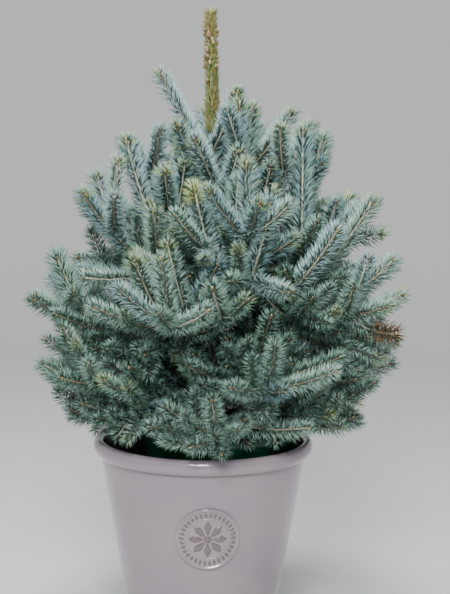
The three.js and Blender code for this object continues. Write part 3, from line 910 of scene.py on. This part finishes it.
def clothe_leader(needles):
    """Needles on all sides of the leader, from its foot to just past its tip."""
    shares = np.sort(draw.uniform(0, 1, LEADER_NEEDLES))
    heights = LEADER_FOOT + shares * (TRUNK_TIP + 4 - LEADER_FOOT)
    centres = np.array([trunk_at(height) for height in heights])
    turn = np.arange(LEADER_NEEDLES) * math.radians(GOLDEN_TURN)
    turn += draw.normal(0, 0.3, LEADER_NEEDLES)
    radial = np.stack([np.cos(turn), np.sin(turn), np.zeros(LEADER_NEEDLES)], axis=1)
    lean = np.radians(draw.normal(40, 9, LEADER_NEEDLES))
    heading = UP * np.cos(lean)[:, None] + radial * np.sin(lean)[:, None]
    radii = np.array([trunk_radius(height) for height in heights])
    size = draw.uniform(13, 18, LEADER_NEEDLES)
    root = centres + radial * (radii - 0.4)[:, None]
    green = np.interp(heights, [LEADER_NODE, TRUNK_TIP - 50], [0.6, 0.4])
    mixed = draw.uniform(0, 1, LEADER_NEEDLES)
    tones = np.select([mixed < green, mixed < 0.9], [LEADER_GREEN, LEADER_OLIVE], YOUNG)
    back = radial * np.cos(lean)[:, None] - UP * np.sin(lean)[:, None]
    needles.add(root, heading, size, tones, back, 0.55)


def leader_bud_height(number):
    """Half of the buds sit below the tip; the rest in the ring part way up and all along."""
    if number % 2:
        return around(TRUNK_TIP - 38, 36, 9, number, 61)
    if number % 4:
        return around(LEADER_NODE, 9, 9, number, 62)
    return lerp(LEADER_FOOT + 20, TRUNK_TIP - 60, chance(9, number, 64))


def leader_buds(buds):
    top = trunk_at(TRUNK_TIP)
    bud_cluster(buds, top + UP * 9, UP, 5, (9, 9, 9), 1.7)
    for number in range(LEADER_BUDS):
        height = leader_bud_height(number)
        turn = outward(360 * chance(9, number, 63))
        base = trunk_at(height) + turn * (trunk_radius(height) + 7)
        length = around(8.5, 1.5, 9, number, 65)
        add_bud(buds, base, unit(UP + turn * 0.8), length, 2.9, number % 3)


# ---- materials ----

def linear(colour):
    """A hex sRGB colour as linear red, green, blue and alpha."""
    channels = [int(colour[at:at + 2], 16) / 255 for at in (1, 3, 5)]
    return [c / 12.92 if c <= 0.04045 else ((c + 0.055) / 1.055) ** 2.4 for c in channels] + [1.0]


def surface(name, colour, roughness, ior=1.5, **sockets):
    """A material with a plain colour, and its surface shader."""
    material = bpy.data.materials.new(name)
    material.use_nodes = True
    shader = material.node_tree.nodes["Principled BSDF"]
    shader.inputs["Base Color"].default_value = linear(colour)
    shader.inputs["Roughness"].default_value = roughness
    shader.inputs["IOR"].default_value = ior
    for socket, value in sockets.items():
        shader.inputs[socket.replace("_", " ").title()].default_value = value
    return material, shader


def node(material, kind, inputs, output, to=(), stops=()):
    """Adds one node and gives its output. An input is a value or another node's output; the
    output may go to a shader's socket; stops are a ramp's positions and colours."""
    tree = material.node_tree
    made = tree.nodes.new(kind)
    for name, value in inputs.items():
        if isinstance(value, bpy.types.NodeSocket):
            tree.links.new(value, made.inputs[name])
        else:
            made.inputs[name].default_value = value
    for number, (position, colour) in enumerate(stops):
        elements = made.color_ramp.elements
        element = elements[number] if number < len(elements) else elements.new(position)
        element.position, element.color = position, linear(colour)
    if to:
        shader, socket = to
        tree.links.new(made.outputs[output], shader.inputs[socket])
    return made.outputs[output]


def patches(material, size_mm, detail, roughness):
    """Uneven patches of about this size, on the piece's own coordinates."""
    place = node(material, "ShaderNodeTexCoord", {}, "Object")
    inputs = {"Vector": place, "Scale": 1 / (size_mm * MM), "Detail": detail,
              "Roughness": roughness}
    return node(material, "ShaderNodeTexNoise", inputs, "Fac")


def mottle(material, shader, size_mm, detail, roughness, stops):
    """Lets the colour drift through the stops in such patches."""
    inputs = {"Fac": patches(material, size_mm, detail, roughness)}
    node(material, "ShaderNodeValToRGB", inputs, "Color", (shader, "Base Color"), stops)


def relief(material, shader, size_mm, detail, roughness, depth_mm, strength=1.0):
    """Raises such patches from the surface."""
    inputs = {"Height": patches(material, size_mm, detail, roughness),
              "Distance": depth_mm * MM, "Strength": strength}
    node(material, "ShaderNodeBump", inputs, "Normal", (shader, "Normal"))


def glaze():
    # glazed stoneware: a clear glossy coat on a warm grey body, slightly uneven as it ran when
    # fired, so its highlights are soft-edged and its colour drifts a little
    material, shader = surface("glazed stoneware", "#8c8089", 0.18,
                               coat_weight=0.5, coat_roughness=0.08)
    mottle(material, shader, size_mm=120, detail=3, roughness=0.55,
           stops=((0.3, "#807580"), (0.7, "#8b8087")))
    relief(material, shader, size_mm=26, detail=3, roughness=0.55, depth_mm=0.5, strength=0.35)
    return material


def broken_glaze_and_shade():
    # the same glaze, brown and deeper, where it broke over the medallion's relief; in the groove
    # under the rim the same brown is painted shade
    return surface("glazed stoneware broken brown and painted shade", "#64585a", 0.22,
                   coat_weight=0.5, coat_roughness=0.1)[0]


def green_plastic():
    # moulded polypropylene, dark green: even colour, a soft shine and the faintest ripple
    material, shader = surface("moulded green polypropylene", "#0b4a32", 0.25)
    relief(material, shader, size_mm=34, detail=2, roughness=0.55, depth_mm=0.4, strength=0.3)
    return material


def peat():
    # peat compost with bark fines: dark, matt and crumbly, with paler fibres
    material, shader = surface("peat compost", "#2a2019", 0.95)
    mottle(material, shader, size_mm=5, detail=6, roughness=0.7,
           stops=((0.3, "#1b140f"), (0.55, "#33271d"), (0.8, "#5a4632")))
    relief(material, shader, size_mm=2.5, detail=6, roughness=0.7, depth_mm=1.2)
    return material


def bark():
    # young spruce bark: grey-brown scales with rusty cracks between them, matt
    material, shader = surface("young spruce bark", "#6e5a4b", 0.9)
    mottle(material, shader, size_mm=7, detail=6, roughness=0.65,
           stops=((0.25, "#3d2e24"), (0.5, "#6b5646"), (0.8, "#93806c")))
    relief(material, shader, size_mm=2.2, detail=5, roughness=0.6, depth_mm=0.6)
    return material


def plain_set(kind, colours, roughness, **sockets):
    """One plain material for each tone, as the tones are dealt out by spray."""
    return [surface(f"{kind} {number}", colour, roughness, **sockets)[0]
            for number, colour in enumerate(colours)]


def needle_skins():
    # living spruce needles: a thin waxy skin, so a faint broad sheen on matt green, and a blue
    # or silver bloom where the wax is thick
    return plain_set("spruce needles tone", NEEDLE_TONES, 0.62, ior=1.42)


def twig_barks():
    # thin bark of the last two years: matt grey-brown, with pale straw tones dealt out as painted
    # sunlight and deeper ones as painted shade
    return plain_set("twig bark tone", TWIG_TONES, 0.75)


def bud_scales():
    # dry papery bud scales: light brown, with hardly any shine
    return plain_set("bud scales tone", BUD_TONES, 0.6)


# ---- pieces ----

def deselect():
    if bpy.context.object and bpy.context.object.mode != "OBJECT":
        bpy.ops.object.mode_set(mode="OBJECT")
    bpy.ops.object.select_all(action="DESELECT")


def choose(*objects):
    deselect()
    for obj in objects:
        obj.select_set(True)
    bpy.context.view_layer.objects.active = objects[0]


def select_points(obj, wanted):
    """Goes to edit mode with just those points selected whose place, in millimetres, passes."""
    bpy.ops.object.mode_set(mode="EDIT")
    bpy.ops.mesh.select_all(action="DESELECT")
    bpy.ops.object.mode_set(mode="OBJECT")
    for vertex in obj.data.vertices:
        vertex.select = wanted(vertex.co / MM)
    bpy.ops.object.mode_set(mode="EDIT")


def finish_piece(obj, slot, *nodes):
    """The piece rides with the object's one body and stands for these solids."""
    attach(obj, "root")
    if nodes:
        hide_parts(*nodes)


def joined_mesh(name, points, faces, tones, materials):
    """A mesh from arrays: points in millimetres, triangles, and each triangle's tone."""
    mesh = bpy.data.meshes.new(name)
    mesh.vertices.add(len(points))
    mesh.vertices.foreach_set("co", (points * MM).astype(np.float32).ravel())
    mesh.loops.add(len(faces) * 3)
    mesh.loops.foreach_set("vertex_index", faces.astype(np.int32).ravel())
    mesh.polygons.add(len(faces))
    mesh.polygons.foreach_set("loop_start", np.arange(len(faces), dtype=np.int32) * 3)
    mesh.polygons.foreach_set("material_index", tones.astype(np.int32))
    mesh.polygons.foreach_set("use_smooth", np.ones(len(faces), bool))
    for material in materials:
        mesh.materials.append(material)
    mesh.update(calc_edges=True)
    obj = bpy.data.objects.new(name, mesh)
    bpy.context.scene.collection.objects.link(obj)
    return obj


NEEDLE_FACES = np.array([(0, 1, 2), (1, 3, 2), (0, 2, 3), (0, 3, 1)])
MOST_NEEDLES = 47000                # in one piece, four triangles each


def needle_pieces(name, needles, materials, nodes):
    """The needles of a whorl as one piece, or a few where they are many."""
    points, tones = np.concatenate(needles.points), np.concatenate(needles.tones)
    parts = max(1, math.ceil(len(tones) / MOST_NEEDLES))
    for part, rows in enumerate(np.array_split(np.arange(len(tones)), parts)):
        faces = (NEEDLE_FACES[None] + 4 * np.arange(len(rows))[:, None, None]).reshape(-1, 3)
        label = name if parts == 1 else f"{name}_{part + 1}"
        obj = joined_mesh(label, points[rows].reshape(-1, 3), faces, np.repeat(tones[rows], 4),
                          materials)
        slot = "leader_needles" if "leader" in name else "needles"
        finish_piece(obj, slot, *nodes)


def closed_piece(name, gathered, materials, slot):
    obj = joined_mesh(name, np.vstack(gathered.points), np.vstack(gathered.faces),
                      np.concatenate(gathered.tones), materials)
    finish_piece(obj, slot)


# ---- round pots, raised ring by ring ----

def ringed(name, profile, sides, x=0.0):
    """A closed round form: a disc at its first ring, extruded and resized to each next ring."""
    radius, height = profile[0]
    deselect()
    bpy.ops.mesh.primitive_circle_add(vertices=sides, radius=radius * MM, fill_type="NGON",
                                      location=(x * MM, 0, height * MM))
    obj = bpy.context.object
    obj.name = obj.data.name = name
    bpy.ops.object.mode_set(mode="EDIT")
    bpy.ops.mesh.select_all(action="SELECT")
    for (last_radius, last_height), (radius, height) in zip(profile, profile[1:]):
        bpy.ops.mesh.extrude_region_move(
            TRANSFORM_OT_translate={"value": (0, 0, (height - last_height) * MM)})
        grow = radius / last_radius
        bpy.ops.transform.resize(value=(grow, grow, 1))
    bpy.ops.mesh.select_all(action="SELECT")
    bpy.ops.mesh.remove_doubles(threshold=1e-6)
    bpy.ops.mesh.normals_make_consistent(inside=False)
    bpy.ops.object.mode_set(mode="OBJECT")
    bpy.ops.object.transform_apply(location=True, rotation=True, scale=True)
    return obj


def wall_radius(height):
    return BODY_RADIUS - PLANTER_TAPER * (BODY_TOP - height)


def planter_profile():
    """From the middle of the underside up the wall, over the rolled rim and down inside."""
    middle, half = (RIM_RADIUS + RIM_INSIDE) / 2, (RIM_RADIUS - RIM_INSIDE) / 2
    profile = [(wall_radius(0) - FOOT_EDGE, 0)]
    for step in range(1, 5):
        angle = math.pi / 2 * step / 4
        profile.append((wall_radius(FOOT_EDGE) - FOOT_EDGE * (1 - math.sin(angle)),
                        FOOT_EDGE * (1 - math.cos(angle))))
    profile += [(wall_radius(height), height) for height in range(20, 340, 20)]
    profile += [(wall_radius(UNDER_RIM - 6), UNDER_RIM - 6),
                (wall_radius(UNDER_RIM) - 0.6, UNDER_RIM - 2)]
    for step in range(25):
        angle = -math.pi / 2 + step / 24 * math.pi * 1.5
        profile.append((middle + math.cos(angle) * half,
                        UNDER_RIM + RIM_TALL / 2 * (1 + math.sin(angle))))
    inside = wall_radius(UNDER_RIM) - PLANTER_WALL
    profile += [(inside + 1.5, UNDER_RIM + 4), (inside, UNDER_RIM - 6)]
    profile += [(wall_radius(height) - PLANTER_WALL, height)
                for height in (260, 160, 60, PLANTER_FLOOR + 8)]
    profile += [(wall_radius(PLANTER_FLOOR) - PLANTER_WALL - 4, PLANTER_FLOOR)]
    return profile


def planter(body, broken_and_shade):
    """The glazed planter, with painted shade in the brown of the broken glaze in the groove under
    its rim.
    """
    obj = ringed("planter_body", planter_profile(), PLANTER_SIDES)
    obj.data.materials.append(body)
    obj.data.materials.append(broken_and_shade)
    # painted shade: a thin band of faces on the outside just under the rim takes the brown glaze
    for face in obj.data.polygons:
        middle = face.center / MM
        outside = math.hypot(middle.x, middle.y) > wall_radius(UNDER_RIM) - 2
        face.material_index = int(outside and UNDER_RIM - 3 < middle.z < UNDER_RIM + 1.5)
    choose(obj)
    bpy.ops.object.shade_smooth_by_angle(angle=math.radians(40))
    finish_piece(obj, "glaze", "planter")


def nursery_pot(green):
    """The thin grow pot, from its underside up to its stepped lip and down inside."""
    base = PLANTER_FLOOR + GAP
    lip = NURSERY_TOP - NURSERY_LIP
    flare = (NURSERY_RADIUS - NURSERY_BASE_RADIUS) / (lip - base)

    def side(height):
        return NURSERY_BASE_RADIUS + flare * (height - base)

    lip_radius = NURSERY_RADIUS + NURSERY_LIP_RISE
    inside = side(lip) - NURSERY_WALL
    profile = [(side(base) - 2, base), (side(base + 2), base + 2), (side(lip - 2), lip - 2),
               (side(lip) + 0.4, lip - 0.4), (lip_radius - 0.5, lip), (lip_radius, lip + 0.8),
               (lip_radius, NURSERY_TOP - 1.2), (lip_radius - 0.4, NURSERY_TOP - 0.3),
               (lip_radius - 1.2, NURSERY_TOP), (lip_radius - 2.1, NURSERY_TOP - 0.3),
               (lip_radius - NURSERY_WALL, NURSERY_TOP - 1.2),
               (inside + 0.6, lip - NURSERY_LIP_RISE + 1), (inside, lip - NURSERY_LIP_RISE - 1),
               (side(base) - NURSERY_WALL, base + NURSERY_WALL)]
    obj = ringed("nursery_pot_wall", profile, NURSERY_SIDES, NURSERY_X)
    obj.data.materials.append(green)
    choose(obj)
    bpy.ops.object.shade_smooth_by_angle(angle=math.radians(40))
    finish_piece(obj, "green_plastic", "nursery_pot")


def apply_modifier(obj, name, kind, **settings):
    choose(obj)
    made = obj.modifiers.new(name, kind)
    for setting, value in settings.items():
        setattr(made, setting, value)
    bpy.ops.object.modifier_apply(modifier=name)


def cloud(name, size_mm):
    """A cloudy pattern with lumps of about this size."""
    texture = bpy.data.textures.new(name, "CLOUDS")
    texture.noise_scale = size_mm * MM
    texture.noise_depth = 3
    return texture


def compost(soil):
    """The fill of the nursery pot, with a crumbly top."""
    low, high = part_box("compost")
    radius = (high.x - low.x) / 2 / MM - 0.4
    base = NURSERY_BASE_RADIUS
    bottom = PLANTER_FLOOR + GAP * 2 + NURSERY_WALL
    profile = [(base - 4, bottom), (base - 2.5, bottom + 2), (radius - 2, 340),
               (radius - 0.5, COMPOST_TOP - 12), (radius - 1, COMPOST_TOP - 2)]
    obj = ringed("compost_fill", profile, NURSERY_SIDES, NURSERY_X)
    select_points(obj, lambda point: point.z > COMPOST_TOP - 3)
    for _ in range(COMPOST_RINGS):
        bpy.ops.mesh.inset(thickness=radius * MM / (COMPOST_RINGS + 1.5))
    bpy.ops.object.mode_set(mode="OBJECT")
    top = [v.index for v in obj.data.vertices if v.co.z > (COMPOST_TOP - 4) * MM]
    obj.vertex_groups.new(name="crumbly").add(top, 1.0, "REPLACE")
    apply_modifier(obj, "lumps", "DISPLACE", texture=cloud("compost lumps", 9), strength=5 * MM,
                   mid_level=0.6, direction="Z", vertex_group="crumbly")
    obj.vertex_groups.clear()
    obj.data.materials.append(soil)
    choose(obj)
    bpy.ops.object.shade_smooth()
    finish_piece(obj, "compost", "compost")


def limbs_with_bark(boughs, scaly):
    """Trunk and boughs as one skin with the bark's relief, from merged copies of their solids."""
    names = ["trunk"] + [f"bough_{bough.name}" for bough in boughs if bough.bare]
    gathered = bmesh.new()
    for name in names:
        gathered.from_mesh(frame["nodes"][name].data)
    bmesh.ops.remove_doubles(gathered, verts=gathered.verts, dist=1e-5)
    mesh = bpy.data.meshes.new("bark_limbs")
    gathered.to_mesh(mesh)
    gathered.free()
    obj = bpy.data.objects.new("bark_limbs", mesh)
    bpy.context.scene.collection.objects.link(obj)
    mesh.materials.append(scaly)
    apply_modifier(obj, "skin", "REMESH", mode="VOXEL", voxel_size=1.9 * MM)
    apply_modifier(obj, "soften", "SMOOTH", factor=0.6, iterations=5)
    apply_modifier(obj, "scales", "DISPLACE", texture=cloud("bark scales", 7), strength=2.2 * MM,
                   mid_level=0.5, direction="NORMAL")
    choose(obj)
    bpy.ops.object.shade_smooth()
    finish_piece(obj, "bark", *names)


# ---- the round medallion: a border of oval studs and a rosette ----

PETALS, PETAL_CIRCLE = 8, 19.5      # how many, and the radius on which their middles lie
PETAL_HALF = (12.5, 6.2, 2.1)
STUDS, STUD_CIRCLE = 34, 43


def oval(name, half_sizes, segments, rings):
    """An oval about the middle, its poles at the two ends of its length, in edit mode."""
    deselect()
    bpy.ops.mesh.primitive_uv_sphere_add(segments=segments, ring_count=rings, radius=1 * MM,
                                         rotation=(0, math.pi / 2, 0))
    obj = bpy.context.object
    obj.name = obj.data.name = name
    bpy.ops.object.transform_apply(location=False, rotation=True, scale=False)
    bpy.ops.object.mode_set(mode="EDIT")
    bpy.ops.mesh.select_all(action="SELECT")
    bpy.ops.transform.resize(value=half_sizes)
    return obj


def petal():
    """A pointed petal, lying flat: an oval narrowed ring by ring, with a groove along its top."""
    rings = 10
    obj = oval("petal", PETAL_HALF, 20, rings)
    for ring in range(1, rings):
        place = PETAL_HALF[0] * math.cos(math.pi * ring / rings)
        share = (place / PETAL_HALF[0] + 1) / 2
        wide = (0.35 + 1.1 * share) * (1 - 1.9 * max(0, share - 0.6))
        select_points(obj, lambda point: abs(point.x - place) < 0.1)
        bpy.ops.transform.resize(value=(1, wide, 1))
    select_points(obj, lambda point: point.z > 0.2 and abs(point.y) < 0.1)
    bpy.ops.transform.translate(value=(0, 0, -0.55 * MM))
    bpy.ops.mesh.select_all(action="SELECT")
    bpy.ops.transform.translate(value=(PETAL_CIRCLE * MM, 0, 0.2 * MM))
    bpy.ops.object.mode_set(mode="OBJECT")
    return obj


def stud():
    """An oval stud of the border, its length pointing to the medallion's middle."""
    obj = oval("stud", (4.4, 2.5, 1.7), 14, 8)
    bpy.ops.transform.translate(value=(STUD_CIRCLE * MM, 0, 0))
    bpy.ops.object.mode_set(mode="OBJECT")
    return obj


def boss():
    """The round knob in the rosette's middle."""
    obj = oval("boss", (6, 6, 3), 14, 8)
    bpy.ops.object.mode_set(mode="OBJECT")
    return obj


def all_round(piece, count):
    """The piece with its copies, turned evenly about the middle, each with its own mesh."""
    made = [piece]
    for number in range(1, count):
        other = piece.copy()
        other.data = piece.data.copy()
        bpy.context.scene.collection.objects.link(other)
        other.rotation_euler = (0, 0, 2 * math.pi * number / count)
        made.append(other)
    choose(*made)
    bpy.ops.object.transform_apply(location=False, rotation=True, scale=False)
    return made


def medallion(body, broken_and_shade):
    """The plate with its raised edge and relief, bent to the wall and leaning with it."""
    rings = [(MEDALLION_RADIUS - 1, -MEDALLION_SUNK - 3), (MEDALLION_RADIUS, -MEDALLION_SUNK),
             (MEDALLION_RADIUS, 1.0), (MEDALLION_RADIUS - 0.8, 1.9),
             (MEDALLION_RADIUS - 2, 2.3), (MEDALLION_RADIUS - 3.2, 1.8),
             (MEDALLION_RADIUS - 4.2, 0.3), (MEDALLION_RADIUS - 5, 0),
             (36.5, 0), (36, 0.7), (35.2, 0.9), (34.4, 0.7), (33.9, 0), (24, 0), (14, 0), (4, 0)]
    plate = ringed("medallion", rings, 120)
    plate.data.materials.append(body)
    raised = all_round(petal(), PETALS) + all_round(stud(), STUDS) + [boss()]
    for part in raised:
        part.data.materials.append(broken_and_shade)
    choose(plate, *raised)
    bpy.ops.object.join()
    plate.rotation_euler = (math.pi / 2, 0, 0)
    bpy.ops.object.transform_apply(location=False, rotation=True, scale=False)
    wall, taper = wall_radius(MEDALLION_HEIGHT), math.atan(PLANTER_TAPER)
    wide = 2 * MEDALLION_RADIUS / (wall / math.cos(taper))
    apply_modifier(plate, "wrap", "SIMPLE_DEFORM", deform_method="BEND", deform_axis="Z",
                   angle=wide)
    on_wall = Matrix.Translation((0, -(wall + MEDALLION_RISE) * MM, MEDALLION_HEIGHT * MM))
    turned = Matrix.Rotation(math.radians(MEDALLION_TURN), 4, "Z")
    plate.data.transform(turned @ on_wall @ Matrix.Rotation(taper, 4, "X"))
    choose(plate)
    bpy.ops.object.shade_smooth_by_angle(angle=math.radians(50))
    finish_piece(plate, "glaze")


# ---- camera, light and floor ----

CAMERA_PLACE = Vector((0.0349, -2.389, 0.910))
CAMERA_DOWN = 6.95                  # degrees below level
CAMERA_ROLL = 0.68
CAMERA_LENS, SENSOR = 84.85, 36     # millimetres, the sensor along the image's long side
LIGHTS_AIM = Vector((0, 0, 0.55))


def camera():
    """In front, a little below the leader's tip, looking slightly down and leaning a touch."""
    data = bpy.data.cameras.new("camera")
    data.lens, data.sensor_width = CAMERA_LENS, SENSOR
    obj = bpy.data.objects.new("camera", data)
    bpy.context.scene.collection.objects.link(obj)
    down, roll = math.radians(CAMERA_DOWN), math.radians(CAMERA_ROLL)
    back = Vector((0, -math.cos(down), math.sin(down)))
    up = Vector((0, math.sin(down), math.cos(down)))
    right = Vector((1, 0, 0))
    level = right * math.cos(roll) + up * math.sin(roll)
    upright = up * math.cos(roll) - right * math.sin(roll)
    turn = Matrix((level, upright, back)).transposed().to_4x4()
    obj.matrix_world = Matrix.Translation(CAMERA_PLACE) @ turn
    bpy.context.scene.camera = obj


def soft_light(name, place, size, power, colour):
    """A round softbox, turned towards the middle of the tree."""
    data = bpy.data.lights.new(name, "AREA")
    data.shape, data.size, data.energy = "DISK", size, power
    data.color = linear(colour)[:3]
    obj = bpy.data.objects.new(name, data)
    bpy.context.scene.collection.objects.link(obj)
    obj.location = place
    aim = LIGHTS_AIM - Vector(place)
    obj.rotation_euler = aim.to_track_quat("-Z", "Y").to_euler()


SWEEP_FLAT, SWEEP_BEND, SWEEP_STEPS = 3200, 1600, 16     # floor and bend radii in millimetres


def studio():
    """A pale room with a softbox in front, one overhead and a little cool light from the left."""
    world = bpy.data.worlds.new("studio")
    bpy.context.scene.world = world
    world.use_nodes = True
    backdrop = world.node_tree.nodes["Background"]
    backdrop.inputs["Color"].default_value = linear("#e8eaee")
    backdrop.inputs["Strength"].default_value = 0.6
    soft_light("front softbox", (-0.15, -2.75, 2.3), 1.0, 124, "#ffffff")
    soft_light("overhead", (-0.2, -0.5, 2.8), 0.8, 60, "#ffffff")
    soft_light("left window", (-2.4, -1.2, 1.6), 1.2, 3, "#f2f5ff")
    sweep()


def sweep():
    """A round studio floor that curves up into its wall, all one pale surface."""
    profile = [(SWEEP_FLAT, 0)]
    for step in range(1, SWEEP_STEPS + 1):
        angle = math.pi / 2 * step / SWEEP_STEPS
        profile.append((SWEEP_FLAT + SWEEP_BEND * math.sin(angle),
                        SWEEP_BEND * (1 - math.cos(angle))))
    floor = ringed("floor", profile, 96)
    select_points(floor, lambda point: point.z > SWEEP_BEND - 1)
    bpy.ops.mesh.delete(type="ONLY_FACE")
    bpy.ops.object.mode_set(mode="OBJECT")
    bpy.ops.object.shade_smooth()
    # seamless studio paper: pale, even and matt, so it takes soft shadows and no reflections
    material, _ = surface("pale matt floor", "#dcdcdb", 0.85)
    floor.data.materials.append(material)
    return floor


# ---- assembly ----

def spruce():
    """Grows all shoots, then makes the needles whorl by whorl, the twigs, the buds and the bark."""
    boughs = [Bough(row, k) for row, whorl in enumerate(WHORLS) for k in range(len(whorl[4]))]
    limbs = bare_limbs(boughs)
    grown, standing = grow_foliage(boughs, limbs)
    longer = grow_long(grown, standing)
    fine = grow_fine(boughs, grown + longer, standing, limbs)
    everything = grown + longer + fine
    bend(everything)

    skins = needle_skins()
    for row, (whorl, *_) in enumerate(WHORLS):
        needles = Needles()
        for shoot in everything:
            if shoot.bough.row == row:
                clothe(shoot, needles)
        nodes = [f"foliage_{bough.name}" for bough in boughs if bough.row == row]
        needle_pieces(f"needles_{whorl}", needles, skins, nodes)
    leader = Needles()
    clothe_leader(leader)
    needle_pieces("needles_leader", leader, skins, ["foliage_leader"])

    twigs, buds = Closed(), Closed()
    for shoot in everything:
        add_twig(shoot, twigs)
        add_buds(shoot, buds)
    leader_buds(buds)
    closed_piece("twigs", twigs, twig_barks(), "bark")
    closed_piece("buds", buds, bud_scales(), "bark")
    limbs_with_bark(boughs, bark())


camera()
studio()
clay, clay_broken_and_shade = glaze(), broken_glaze_and_shade()
planter(clay, clay_broken_and_shade)
medallion(clay, clay_broken_and_shade)
nursery_pot(green_plastic())
compost(peat())
spruce()
